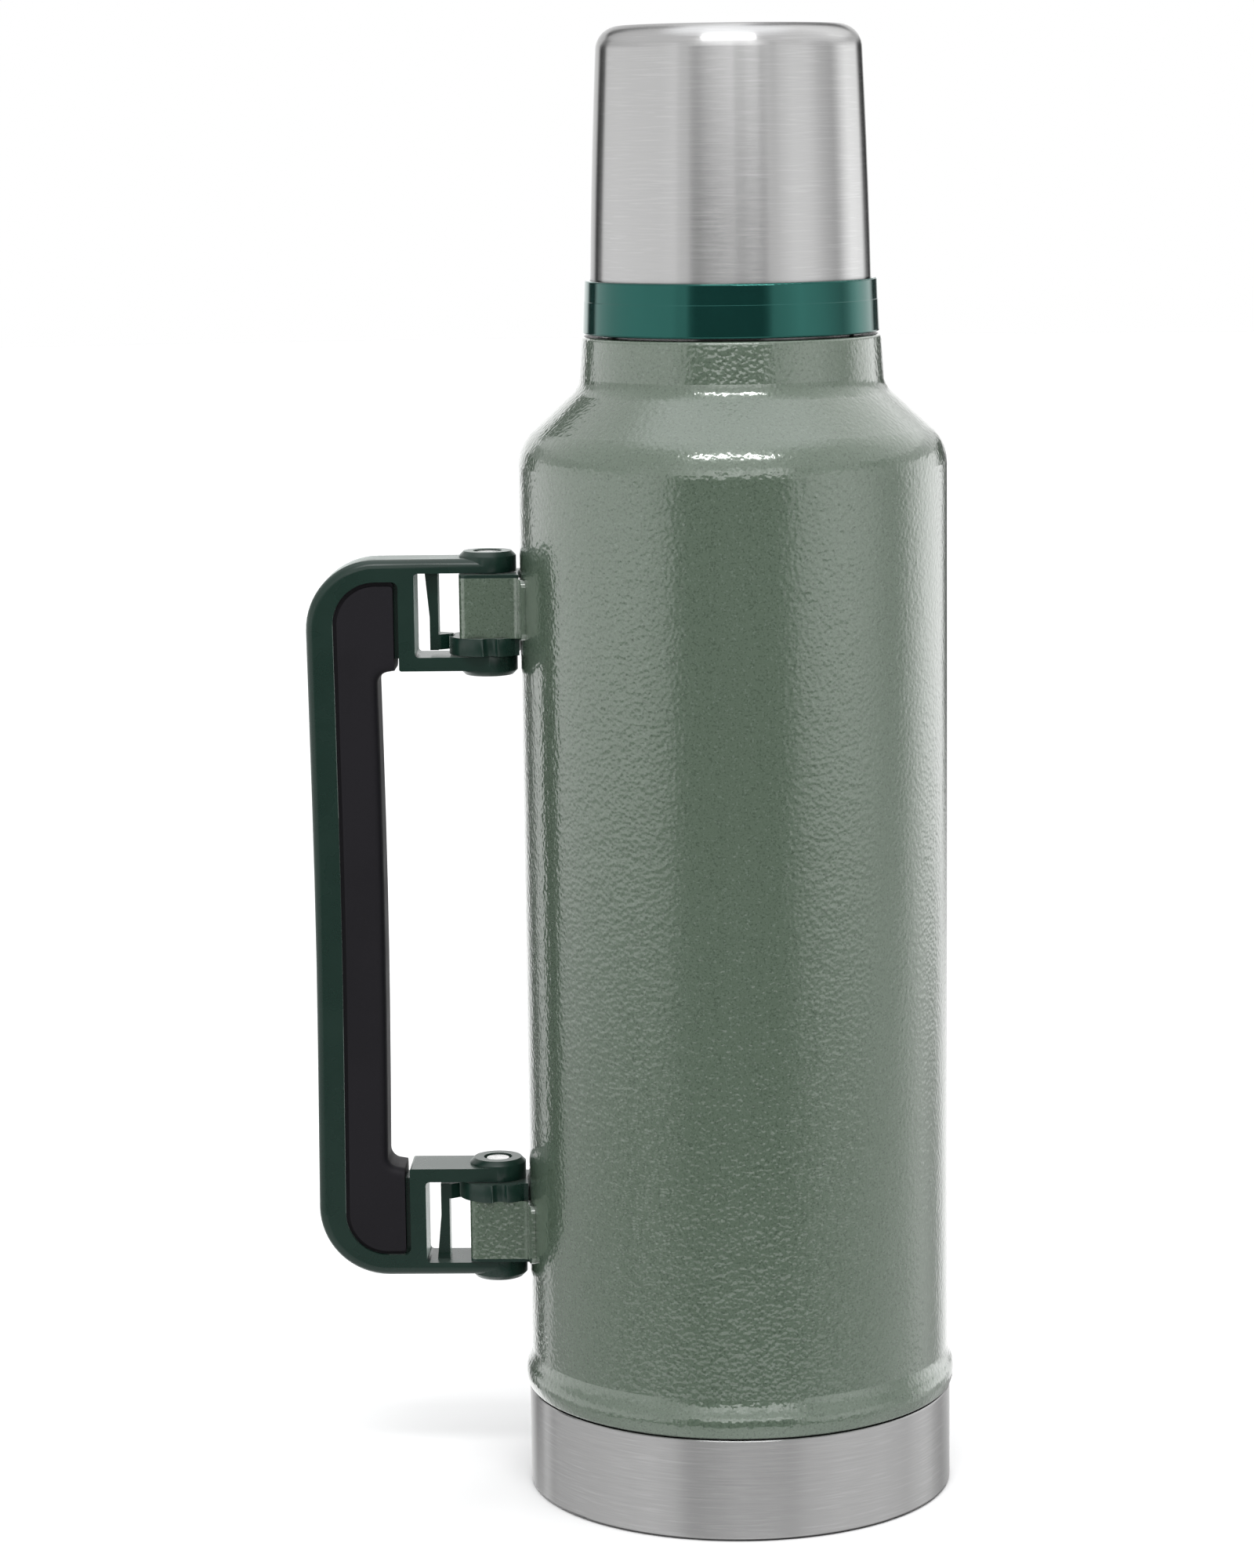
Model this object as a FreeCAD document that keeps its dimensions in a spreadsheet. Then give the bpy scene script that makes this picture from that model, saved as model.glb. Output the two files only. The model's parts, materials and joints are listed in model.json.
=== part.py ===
"""Vacuum flask with a threaded stopper, a drinking cup and a folding side handle.

Millimetres, +Z up. The origin is on the flask's axis at the surface that it stands on.
The handle is on the -X side and folds about a vertical axis, towards -Y or +Y.
"""

import FreeCAD, Part
import math
import os
import Sketcher
from FreeCAD import Placement, Rotation, Vector

# --------------------------------------------------------------------------------------
# Driving dimensions: alias, value, meaning
# --------------------------------------------------------------------------------------
DIMENSIONS = [
    # painted outer shell
    ("body_radius", 54.45, "outside of the straight body"),
    ("shell_wall", 0.7, "sheet thickness of the outer shell"),
    ("neck_top_radius", 37.9, "outside of the neck at its top"),
    ("neck_foot_radius", 38.75, "outside of the neck where the shoulder starts"),
    ("neck_top_height", 299.0, "top of the painted neck"),
    ("neck_foot_height", 286.2, "where neck and shoulder meet"),
    ("shoulder_foot_height", 271.9, "where shoulder and body meet"),
    ("neck_top_round", 0.9, "rounding of the neck's top edge"),
    ("neck_bend", 6.0, "hollow bend between neck and shoulder"),
    ("shoulder_bend", 12.0, "round bend between shoulder and body"),
    ("bead_top_height", 34.4, "top of the rolled bead"),
    ("bead_foot_height", 26.9, "bottom of the rolled bead"),
    ("bead_foot_radius", 55.3, "outside of the bead's lower end"),
    ("bead_round", 7.1, "radius of the bead's section"),
    ("bead_blend", 7.0, "hollow between the body and the bead"),
    ("bead_foot_round", 1.0, "rounding of the bead's lower end"),
    ("bead_lip_width", 0.4, "flat under the bead's lower end"),
    ("bead_lip_height", 0.2, "height of that flat's slope"),
    ("skirt_radius", 54.1, "outside of the shell inside the base"),
    ("skirt_foot_height", 6.0, "lower end of the shell inside the base"),
    ("inner_drop", 0.3, "inside corners of the shoulder below the outside ones"),
    # base
    ("base_radius", 55.0, "outside of the base"),
    ("base_height", 26.2, "height of the base's wall"),
    ("base_wall", 0.8, "sheet thickness of the base"),
    ("foot_inner_radius", 49.0, "inside of the ring that the flask stands on"),
    ("foot_recess", 3.0, "rise of the base's underside"),
    ("base_edge_round", 1.0, "rounding of the base's lower edges"),
    ("base_inner_round", 0.8, "rounding of the base's inside corners"),
    ("base_lip_chamfer", 0.25, "chamfer of the base's upper edge"),
    # vacuum bottle
    ("vessel_inner_radius", 49.6, "inside of the inner vessel"),
    ("vessel_wall", 0.6, "sheet thickness of the inner vessel"),
    ("vessel_foot_height", 13.0, "lower end of the inner vessel's wall"),
    ("vessel_shoulder_foot", 262.5, "where the inner shoulder and wall meet"),
    ("vessel_shoulder_top", 279.0, "where the inner shoulder and throat meet"),
    ("vessel_shoulder_round", 10.0, "round bend between the inner shoulder and wall"),
    ("throat_round", 5.0, "hollow bend between the inner shoulder and throat"),
    ("throat_radius", 23.0, "inside of the throat below the stopper seat"),
    ("seat_height", 285.0, "ledge that the stopper seals on"),
    ("mouth_radius", 25.5, "inside of the mouth"),
    ("mouth_height", 316.0, "top of the mouth"),
    ("bottom_rise", 2.0, "rise of the inner bottom's middle"),
    ("bottom_slope_width", 14.0, "width of the inner bottom's sloping margin"),
    ("bottom_margin", 4.0, "width of the inner bottom's flat margin"),
    ("bottom_inset", 0.5, "inner bottom above the vessel's lower end"),
    ("bottom_round", 12.0, "bend between the inner bottom's middle and margin"),
    ("lip_height", 4.0, "height of the welded lips of both bottoms"),
    ("outer_bottom_height", 6.6, "underside of the plate that closes the vacuum space"),
    ("bottom_plate_wall", 0.8, "thickness of that plate"),
    ("seal_hole_radius", 1.5, "evacuation hole"),
    ("dimple_radius", 4.5, "dimple round the evacuation hole"),
    ("dimple_height", 1.2, "rise of the dimple"),
    ("dimple_slope_width", 2.0, "width of the dimple's slope"),
    ("bead_neck_radius", 3.9, "sealing bead where it meets the plate"),
    ("bead_underside_radius", 3.0, "sealing bead at its underside"),
    ("bead_depth", 1.0, "sealing bead below the plate"),
    ("bead_edge_round", 0.8, "rounding of the sealing bead"),
    ("getter_radius", 5.0, "getter capsule"),
    ("getter_height", 2.2, "getter capsule"),
    ("getter_offset", 24.0, "distance of the getter from the axis"),
    ("clip_wall", 0.4, "sheet thickness of the getter's clip"),
    ("clip_width", 6.0, "width of the clip"),
    ("clip_tab", 5.0, "length of the clip's tabs"),
    ("lug_width", 3.0, "width of the clip's lugs"),
    ("lug_height", 1.32, "height of the clip's lugs"),
    # threads
    ("thread_lead", 6.0, "rise in one turn of both threads"),
    ("ridge_foot", 1.8, "width of a thread ridge at its foot"),
    ("ridge_crest", 0.8, "width of a thread ridge at its crest"),
    ("ridge_sink", 0.25, "depth of a ridge's foot in its wall"),
    ("collar_radius", 31.2, "outside of the collar between ridges"),
    ("collar_wall", 1.2, "sheet thickness of the collar"),
    ("collar_ridge", 1.7, "height of the collar's ridge"),
    ("collar_edge_round", 1.2, "rounding of the collar's top edge"),
    ("collar_depth", 1.5, "collar below the neck's ledge"),
    ("ring_bore_radius", 33.3, "inside of the cup's ring between ridges"),
    ("ring_ridge", 1.6, "height of the ring's ridge"),
    ("mouth_ridge", 1.3, "height of the ridge inside the mouth"),
    ("plug_radius", 23.8, "outside of the stopper between ridges"),
    ("plug_ridge", 1.3, "height of the stopper's ridge"),
    ("outer_thread_start", 1.9, "neck's top to the start of the cup's threads"),
    ("outer_thread_run", 11.4, "height over which the collar's thread runs"),
    ("ring_thread_run", 9.0, "height over which the ring's thread runs"),
    ("inner_thread_end", 3.0, "mouth to the end of the stopper's threads"),
    ("inner_thread_run", 12.0, "height over which the mouth's thread runs"),
    ("plug_thread_run", 10.0, "height over which the stopper's thread runs"),
    # cup
    ("cup_top_height", 376.0, "top of the cup"),
    ("cup_top_radius", 33.15, "outside of the cup at its top"),
    ("cup_foot_radius", 35.45, "outside of the cup at its lower end"),
    ("cup_side_foot", 312.0, "lower end of the cup's curved side"),
    ("cup_foot_height", 303.0, "lower end of the cup's steel"),
    ("cup_bow", 2000.0, "radius of the slight bow of the cup's side"),
    ("cup_wall", 0.6, "sheet thickness of the cup"),
    ("cup_top_round", 6.0, "rounding of the cup's top edge"),
    ("liner_wall", 0.5, "sheet thickness of the cup's inner wall"),
    ("liner_top_round", 5.0, "rounding of the inner wall's top"),
    ("liner_foot_round", 1.0, "bend of the inner wall's flange"),
    ("liner_flange_radius", 34.4, "outside of the inner wall's flange"),
    ("liner_top_height", 372.5, "top of the cup's inner wall"),
    ("liner_top_radius", 30.9, "outside of the inner wall at its top"),
    ("liner_foot_radius", 32.3, "outside of the inner wall at its lower end"),
    ("ring_top_height", 313.0, "top of the ring's visible band"),
    ("ring_foot_height", 299.6, "lower edge of the ring"),
    ("ring_top_radius", 36.95, "outside of the ring at its top"),
    ("ring_foot_radius", 37.5, "outside of the ring at its lower edge"),
    ("ring_step_height", 307.8, "faint step round the ring"),
    ("ring_step_radius", 37.12, "outside of the ring above the step"),
    ("ring_step", 0.08, "width of the step"),
    ("ring_top_round", 0.45, "rounding of the ring's top edge"),
    ("ring_foot_round", 0.5, "rounding of the ring's lower edge"),
    ("ring_lead_in", 0.6, "chamfer at the foot of the ring's bore"),
    ("slot_clearance", 0.1, "gap each side of the cup's steel in the ring"),
    ("slot_taper", 0.4, "lean of the ring's ledge away from the cup"),
    ("ring_ledge_height", 318.4, "top of the ring inside the cup"),
    ("ring_ledge_radius", 30.6, "inside of the ring's ledge"),
    ("cup_seal_height", 1.2, "thickness of the cup's flat seal"),
    ("cup_seal_inner_radius", 28.5, "inside of the cup's seal"),
    ("cup_seal_outer_radius", 32.6, "outside of the cup's seal"),
    # stopper
    ("plug_foot_height", 286.5, "lower end of the stopper's wall"),
    ("plug_bore_radius", 20.8, "inside of the stopper"),
    ("plug_floor", 2.0, "thickness of the stopper's floor"),
    ("boss_depth", 2.5, "boss under the stopper that carries its seal"),
    ("boss_radius", 20.2, "outside of that boss"),
    ("boss_round", 0.5, "rounding of the boss's edge"),
    ("flange_gap", 0.3, "mouth to the stopper's flange"),
    ("plug_flange_radius", 27.5, "flange above the mouth"),
    ("plug_flange_height", 318.0, "top of the flange"),
    ("pour_width", 9.0, "width of a pour channel"),
    ("pour_depth", 2.0, "depth of a pour channel"),
    ("pour_margin", 3.0, "wall left under a pour channel"),
    ("stopper_seal_inner_radius", 20.3, "inside of the stopper's seal"),
    ("stopper_seal_outer_radius", 24.0, "outside of the stopper's seal"),
    ("knob_radius", 27.8, "stopper's finger grip"),
    ("knob_height", 13.0, "height of the finger grip"),
    ("knob_wall", 2.0, "wall of the finger grip"),
    ("knob_edge_round", 2.5, "rounding of the finger grip's top edge"),
    ("knob_scallops", 12.0, "hollows round the finger grip"),
    ("scallop_radius", 4.0, "radius of a hollow"),
    ("scallop_offset", 2.6, "hollow's centre outside the finger grip"),
    ("foam_gap", 0.1, "gap round the insulation"),
    # hinges
    ("pin_offset", 62.6, "hinge axis to the flask's axis"),
    ("upper_hinge_height", 228.95, "middle of the upper hinge"),
    ("lower_hinge_height", 70.25, "middle of the lower hinge"),
    ("hinge_half_height", 15.85, "middle of a hinge to its outer ends"),
    ("knuckle_radius", 7.3, "knuckles on the handle"),
    ("knuckle_height", 5.2, "height of a knuckle"),
    ("knuckle_chamfer", 1.15, "chamfer of a knuckle's outer edge"),
    ("hinge_gap", 0.3, "end play of a hinge"),
    ("pin_radius", 2.5, "hinge pin"),
    ("pin_head_radius", 3.15, "head of the hinge pin"),
    ("pin_head_height", 1.3, "head of the hinge pin"),
    ("pin_recess_radius", 3.7, "recess round the pin's head"),
    ("pin_recess_depth", 1.6, "recess round the pin's head"),
    ("pin_clearance", 0.05, "radial clearance of the pin in the insert"),
    ("pin_fit", 0.02, "radial clearance of the pin in the handle"),
    ("pin_setback", 0.6, "pin's lower end above the knuckle's underside"),
    ("pin_head_chamfer", 0.25, "chamfer of the pin's head"),
    ("strap_half_width", 8.4, "half the outside width of a bracket"),
    ("strap_reach", 7.1, "hinge axis to the bracket's outer end"),
    ("strap_wall", 1.0, "sheet thickness of a bracket"),
    ("strap_bend", 2.0, "outside bend radius of a bracket"),
    ("strap_inner_bend", 1.4, "bend between a bracket's sides and feet"),
    ("strap_root_depth", 0.2, "strap's root in the feet"),
    ("foot_half_width", 15.0, "half the width over a bracket's feet"),
    ("foot_cut", 43.0, "flask's axis to the plane behind the feet"),
    ("insert_flange", 0.8, "thickness of the insert's thin flange"),
    ("cam_height", 4.5, "height of the detent cam"),
    ("cam_radius", 10.2, "detent cam"),
    ("insert_gap", 0.02, "insert to the bracket round it"),
    ("notch_radius", 2.0, "notches in the detent cam"),
    ("notch_offset", 0.4, "notch's centre outside the cam's rim"),
    ("fold_angle", 95.0, "fold of the handle each way, in degrees"),
    ("body_clearance", 0.5, "insert to the flask's body"),
    # handle
    ("handle_half_depth", 7.3, "half the handle's thickness"),
    ("handle_reach", 109.2, "flask's axis to the handle's outer face"),
    ("handle_bow", 1.0, "inward bow of the outer face"),
    ("pocket_bow", 0.8, "inward bow of the grip's outer edge"),
    ("grip_bow", 0.9, "bow of the grip's inner face"),
    ("bow_radius", 3000.0, "radius of the handle's gentle bows"),
    ("corner_round", 18.0, "outer corners of the handle"),
    ("arm_thickness", 3.5, "arms of the handle"),
    ("window_half_height", 10.75, "half the height of a window"),
    ("window_reach", 81.15, "flask's axis to the window's outer side"),
    ("window_round", 1.0, "rounding of a window's corners"),
    ("web_foot_round", 0.6, "rounding where a web meets its arm"),
    ("web_head_round", 1.6, "rounding where a web meets the rim"),
    ("web_reach", 85.25, "flask's axis to the web's outer side"),
    ("side_rim", 7.0, "width of the rim outside the grip"),
    ("end_rim", 5.6, "width of the rim above and below the grip"),
    ("rim_round", 2.2, "rounding of the rim"),
    ("core_half_depth", 4.3, "half the thickness of the frame inside the grip"),
    ("core_inset", 3.0, "grip over the core's inner edge"),
    ("core_overlap", 1.5, "core inside the rim and the webs"),
    ("core_corner_round", 6.0, "outer corners of the core"),
    ("core_inner_round", 5.0, "hollow corners of the core's inner edge"),
    ("core_foot_round", 1.0, "rounding of the core's feet"),
    ("grip_inner_reach", 90.9, "flask's axis to the grip's inner face"),
    ("grip_foot_reach", 86.55, "flask's axis to the grip's end by the web"),
    ("grip_rebate", 1.1, "groove round the grip's face"),
    ("grip_step_half_depth", 5.9, "half thickness where the grip meets the rim"),
    ("grip_foot_slope", 0.7, "slope of the grip's foot"),
    ("grip_foot_round", 3.0, "hollow between foot and inner face"),
    ("grip_corner_round", 1.0, "corners of the grip beside the webs"),
    ("grip_edge_round", 2.2, "rounding of the grip's inner edges"),
    # detent springs
    ("spring_inner_reach", 75.3, "flask's axis to the spring's cam side"),
    ("spring_thickness", 2.2, "spring finger at its free end"),
    ("spring_root_thickness", 3.3, "spring finger at its root"),
    ("spring_taper_length", 11.7, "length over which the root tapers"),
    ("spring_half_depth", 3.0, "half the depth of the finger"),
    ("spring_root_depth", 2.2, "root inside the arm"),
    ("spring_end_gap", 1.4, "free end to the arm"),
    ("toe_reach", 71.65, "flask's axis to the tip of the toe"),
    ("toe_half_width", 1.5, "half the width of the toe"),
    ("toe_height", 3.9, "height of the toe"),
    ("toe_round", 1.0, "rounding of the toe's tip"),
    ("toe_root", 0.5, "toe's root in the finger"),
    ("toe_shoulder", 0.6, "full width of the toe in front of the finger"),
    ("toe_setback", 0.15, "toe from the finger's free end"),
]


# --------------------------------------------------------------------------------------
# Sizes that know both their number and their formula in the sheet
# --------------------------------------------------------------------------------------
class Size:
    """A number with the sheet formula that it comes from."""

    def __init__(self, number, formula):
        self.number = number
        self.formula = formula

    def __add__(self, other):
        other = as_size(other)
        return Size(self.number + other.number, f"({self.formula} + {other.formula})")

    def __radd__(self, other):
        return as_size(other) + self

    def __sub__(self, other):
        other = as_size(other)
        return Size(self.number - other.number, f"({self.formula} - {other.formula})")

    def __rsub__(self, other):
        return as_size(other) - self

    def __mul__(self, factor):
        factor = as_size(factor)
        return Size(self.number * factor.number, f"({self.formula} * {factor.formula})")

    def __rmul__(self, factor):
        return self * factor

    def __truediv__(self, divisor):
        return self * (1 / float(divisor))

    def __neg__(self):
        return self * -1

    def __float__(self):
        return float(self.number)


def as_size(item):
    """Turn a plain number into a Size."""
    if isinstance(item, Size):
        return item
    return Size(float(item), f"({float(item):.9f})")


class Sheet:
    """The driving dimensions, each one as an attribute."""

    def __init__(self, doc):
        table = doc.addObject("Spreadsheet::Sheet", "sizes")
        for row, (alias, number, meaning) in enumerate(DIMENSIONS, start=1):
            table.set(f"A{row}", meaning)
            table.set(f"B{row}", str(number))
            table.setAlias(f"B{row}", alias)
            setattr(self, alias, Size(number, f"sizes.{alias}"))
        doc.recompute()


doc = FreeCAD.newDocument("vacuum_flask")
s = Sheet(doc)


# --------------------------------------------------------------------------------------
# Sketches
# --------------------------------------------------------------------------------------
def P(x, y, rounding=0.0):
    """A point of an outline, with the radius that its corner is rounded to."""
    return (as_size(x), as_size(y), as_size(rounding))


def bulge(radius, left=True):
    """An arc of this radius between two points, swelling to the left or the right."""
    return ("bulge", as_size(radius), left)


def vector(point):
    return Vector(point[0].number, point[1].number, 0)


def rounded_corner(before, corner, after):
    """Start, middle and end of the arc that rounds a corner."""
    here = vector(corner)
    back = (vector(before) - here).normalize()
    ahead = (vector(after) - here).normalize()
    half_angle = back.getAngle(ahead) / 2
    reach = 1 / math.tan(half_angle)
    radius = corner[2]
    start = (corner[0] + radius * (back.x * reach), corner[1] + radius * (back.y * reach))
    end = (corner[0] + radius * (ahead.x * reach), corner[1] + radius * (ahead.y * reach))
    middle_way = (back + ahead).normalize()
    depth = radius.number * (1 / math.sin(half_angle) - 1)
    return start, here + middle_way * depth, end


def bulge_middle(start, end, radius, left):
    """The middle of an arc between two points."""
    chord = end - start
    sag = radius - math.sqrt(radius ** 2 - (chord.Length / 2) ** 2)
    side = Vector(-chord.y, chord.x, 0).normalize()
    if not left:
        side = -side
    return start + chord / 2 + side * sag


def pin_point(sketch, edge, end, point):
    """Hold one end of a sketch edge at a point of the outline."""
    for kind, size, axis in (("DistanceX", point[0], -2), ("DistanceY", point[1], -1)):
        if abs(size.number) < 1e-9:
            sketch.addConstraint(Sketcher.Constraint("PointOnObject", edge, end, axis))
            continue
        number = sketch.addConstraint(Sketcher.Constraint(kind, -1, 1, edge, end, size.number))
        sketch.setExpression(f"Constraints[{number}]", size.formula)


def draw_outline(sketch, items):
    """Draw a closed outline of points, rounded corners and bulges."""
    points = [item for item in items if item[0] != "bulge"]
    edges = []
    for index, point in enumerate(points):
        before = points[index - 1]
        after = points[(index + 1) % len(points)]
        if point[2].number > 0:
            start, middle, end = rounded_corner(before, point, after)
            edges.append((start, end, point[2], middle))
        else:
            edges.append((point, point, None, None))
    bulges = {}
    count = 0
    for item in items:
        if item[0] == "bulge":
            bulges[count - 1] = item
        else:
            count += 1
    drawn = []
    for index, (start, end, radius, middle) in enumerate(edges):
        if radius is not None:
            drawn.append((start, end, radius, middle))
        following = edges[(index + 1) % len(edges)][0]
        if index in bulges:
            radius = bulges[index][1]
            middle = bulge_middle(vector(end), vector(following), radius.number, bulges[index][2])
            drawn.append((end, following, radius, middle))
        elif (vector(end) - vector(following)).Length > 1e-6:
            drawn.append((end, following, None, None))
    for start, end, radius, middle in drawn:
        a = vector(start)
        b = vector(end)
        if radius is None:
            edge = sketch.addGeometry(Part.LineSegment(a, b))
            pin_point(sketch, edge, 1, start)
            pin_point(sketch, edge, 2, end)
            continue
        arc = Part.Arc(a, middle, b)
        edge = sketch.addGeometry(arc)
        begins = sketch.getPoint(edge, 1)
        first = 1 if (begins - a).Length < (begins - b).Length else 2
        pin_point(sketch, edge, first, start)
        pin_point(sketch, edge, 3 - first, end)
        number = sketch.addConstraint(Sketcher.Constraint("Radius", edge, radius.number))
        sketch.setExpression(f"Constraints[{number}]", radius.formula)


def add_sketch(body, name, plane, height=None):
    """An empty sketch on one of the body's own planes, moved along the plane's normal."""
    sketch = body.newObject("Sketcher::SketchObject", name)
    support = [item for item in body.Origin.OriginFeatures if item.Role == plane][0]
    sketch.AttachmentSupport = [(support, "")]
    sketch.MapMode = "FlatFace"
    if height is not None:
        height = as_size(height)
        sketch.AttachmentOffset = Placement(Vector(0, 0, height.number), Rotation())
        sketch.setExpression("AttachmentOffset.Base.z", height.formula)
    return sketch


def outline_sketch(body, name, plane, items, height=None):
    """A sketch of one closed outline on one of the body's own planes."""
    sketch = add_sketch(body, name, plane, height)
    draw_outline(sketch, items)
    return sketch


def circle_sketch(body, name, x, y, radius, height=None):
    """A sketch of one circle in a level plane."""
    sketch = add_sketch(body, name, "XY_Plane", height)
    x = as_size(x)
    y = as_size(y)
    radius = as_size(radius)
    edge = sketch.addGeometry(Part.Circle(Vector(x.number, y.number, 0), Vector(0, 0, 1), radius.number))
    pin_point(sketch, edge, 3, (x, y))
    number = sketch.addConstraint(Sketcher.Constraint("Radius", edge, radius.number))
    sketch.setExpression(f"Constraints[{number}]", radius.formula)
    return sketch


# --------------------------------------------------------------------------------------
# Features
# --------------------------------------------------------------------------------------
PIECES = []
NEAR = 0.02  # how closely an edge that is looked for has to match its place


def new_body(name):
    """A new named piece."""
    body = doc.addObject("PartDesign::Body", name)
    body.Label = name
    body.Placement = Placement()
    PIECES.append(body)
    return body


def bind(feature, prop, size):
    """Tie a property of a feature to a formula in the sheet."""
    size = as_size(size)
    setattr(feature, prop, size.number)
    feature.setExpression(prop, size.formula)


def turn(body, name, items):
    """Turn an outline about the Z axis. Its points are (radius, height)."""
    sketch = outline_sketch(body, name + "_outline", "XZ_Plane", items)
    feature = body.newObject("PartDesign::Revolution", name)
    feature.Profile = sketch
    feature.ReferenceAxis = (sketch, ["V_Axis"])
    feature.Angle = 360
    return feature


def pad(body, name, sketch, length, symmetric=False):
    """Add material from a sketch, along its normal or to both sides of it."""
    feature = body.newObject("PartDesign::Pad", name)
    feature.Profile = sketch
    if symmetric:
        feature.SideType = "Symmetric"
    bind(feature, "Length", length)
    return feature


def pocket(body, name, sketch, length, symmetric=False, reversed_way=False):
    """Cut from a sketch, against its normal, along it, or to both sides of it."""
    feature = body.newObject("PartDesign::Pocket", name)
    feature.Profile = sketch
    if symmetric:
        feature.SideType = "Symmetric"
    feature.Reversed = reversed_way
    bind(feature, "Length", length)
    return feature


def checked_cut(body, make_cut):
    """Run a cut and make sure that it takes something away."""
    doc.recompute()
    before = body.Shape.Volume
    feature = make_cut()
    doc.recompute()
    if body.Shape.Volume >= before - 1e-6:
        raise RuntimeError(feature.Name + " cuts nothing")
    return feature


def find_edges(feature, test):
    """Names of the feature's edges that pass a test on the edge."""
    doc.recompute()
    names = []
    for number, edge in enumerate(feature.Shape.Edges, start=1):
        if test(edge):
            names.append(f"Edge{number}")
    if not names:
        raise RuntimeError("no edges found on " + feature.Name)
    return names


def ring_at(radius, height):
    """Test for the circular edge of this radius about the Z axis at this height."""
    radius = float(radius)
    height = float(height)

    def test(edge):
        box = edge.BoundBox
        level = abs(box.ZMin - height) < NEAR and abs(box.ZMax - height) < NEAR
        return level and abs(box.XMax - radius) < NEAR and abs(box.XMin + radius) < NEAR
    return test


def dress(body, name, kind, prop, feature, edges, size):
    """A fillet or a chamfer on named edges."""
    dressing = body.newObject(kind, name)
    dressing.Base = (feature, edges)
    bind(dressing, prop, size)
    doc.recompute()
    return dressing


def fillet(body, name, feature, test, radius):
    return dress(body, name, "PartDesign::Fillet", "Radius", feature, find_edges(feature, test), radius)


def chamfer(body, name, feature, test, size):
    return dress(body, name, "PartDesign::Chamfer", "Size", feature, find_edges(feature, test), size)


def thread_ridge(body, name, radius, ridge_height, start_height, run, outward=True):
    """A helical ridge on a wall. The foot sinks a little into the wall."""
    way = 1 if outward else -1
    foot = radius - s.ridge_sink * way
    crest = radius + ridge_height * way
    items = [
        P(foot, start_height - s.ridge_foot * 0.5),
        P(crest, start_height - s.ridge_crest * 0.5),
        P(crest, start_height + s.ridge_crest * 0.5),
        P(foot, start_height + s.ridge_foot * 0.5),
    ]
    sketch = outline_sketch(body, name + "_section", "XZ_Plane", items)
    ridge = body.newObject("PartDesign::AdditiveHelix", name)
    ridge.Profile = sketch
    ridge.ReferenceAxis = (sketch, ["V_Axis"])
    ridge.Mode = "pitch-height-angle"
    bind(ridge, "Pitch", s.thread_lead)
    bind(ridge, "Height", run)
    ridge.LeftHanded = False
    ridge.Reversed = False
    doc.recompute()


# --------------------------------------------------------------------------------------
# Outer shell and base
# --------------------------------------------------------------------------------------
def make_outer_shell():
    """Painted wall: ledge at the top, neck, shoulder, body, bead, skirt inside the base."""
    body = new_body("outer_shell")
    wall = s.shell_wall
    shell = turn(body, "shell", [
        P(s.collar_radius, s.neck_top_height),
        P(s.neck_top_radius, s.neck_top_height, s.neck_top_round),
        P(s.neck_foot_radius, s.neck_foot_height, s.neck_bend),
        P(s.body_radius, s.shoulder_foot_height, s.shoulder_bend),
        P(s.body_radius, s.bead_top_height),
        bulge(s.bead_round),
        P(s.bead_foot_radius, s.bead_foot_height),
        P(s.bead_foot_radius - s.bead_lip_width, s.bead_foot_height - s.bead_lip_height),
        P(s.skirt_radius, s.bead_foot_height - s.bead_lip_height),
        P(s.skirt_radius, s.skirt_foot_height),
        P(s.skirt_radius - wall, s.skirt_foot_height),
        P(s.skirt_radius - wall, s.bead_foot_height),
        P(s.body_radius - wall, s.bead_top_height),
        P(s.body_radius - wall, s.shoulder_foot_height - s.inner_drop, s.shoulder_bend - wall),
        P(s.neck_foot_radius - wall, s.neck_foot_height - s.inner_drop, s.neck_bend + wall),
        P(s.neck_top_radius - wall, s.neck_top_height - wall),
        P(s.collar_radius, s.neck_top_height - wall),
    ])
    blended = fillet(
        body, "bead_blend", shell, ring_at(s.body_radius, s.bead_top_height), s.bead_blend)
    fillet(
        body, "bead_foot_round", blended,
        ring_at(s.bead_foot_radius, s.bead_foot_height), s.bead_foot_round)


def make_base_cup():
    """Brushed base: wall, rounded foot ring and a raised underside."""
    body = new_body("base_cup")
    wall = s.base_wall
    turn(body, "base", [
        P(0, s.foot_recess + wall),
        P(s.foot_inner_radius - wall, s.foot_recess + wall, s.base_edge_round + s.base_inner_round / 2),
        P(s.foot_inner_radius + wall, wall, s.base_inner_round),
        P(s.base_radius - wall, wall, s.base_inner_round),
        P(s.base_radius - wall, s.base_height),
        P(s.base_radius - s.base_lip_chamfer, s.base_height),
        P(s.base_radius, s.base_height - s.base_lip_chamfer),
        P(s.base_radius, 0, s.base_edge_round),
        P(s.foot_inner_radius, 0, s.base_edge_round),
        P(s.foot_inner_radius - 2 * wall, s.foot_recess, s.base_inner_round),
        P(0, s.foot_recess),
    ])


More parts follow.
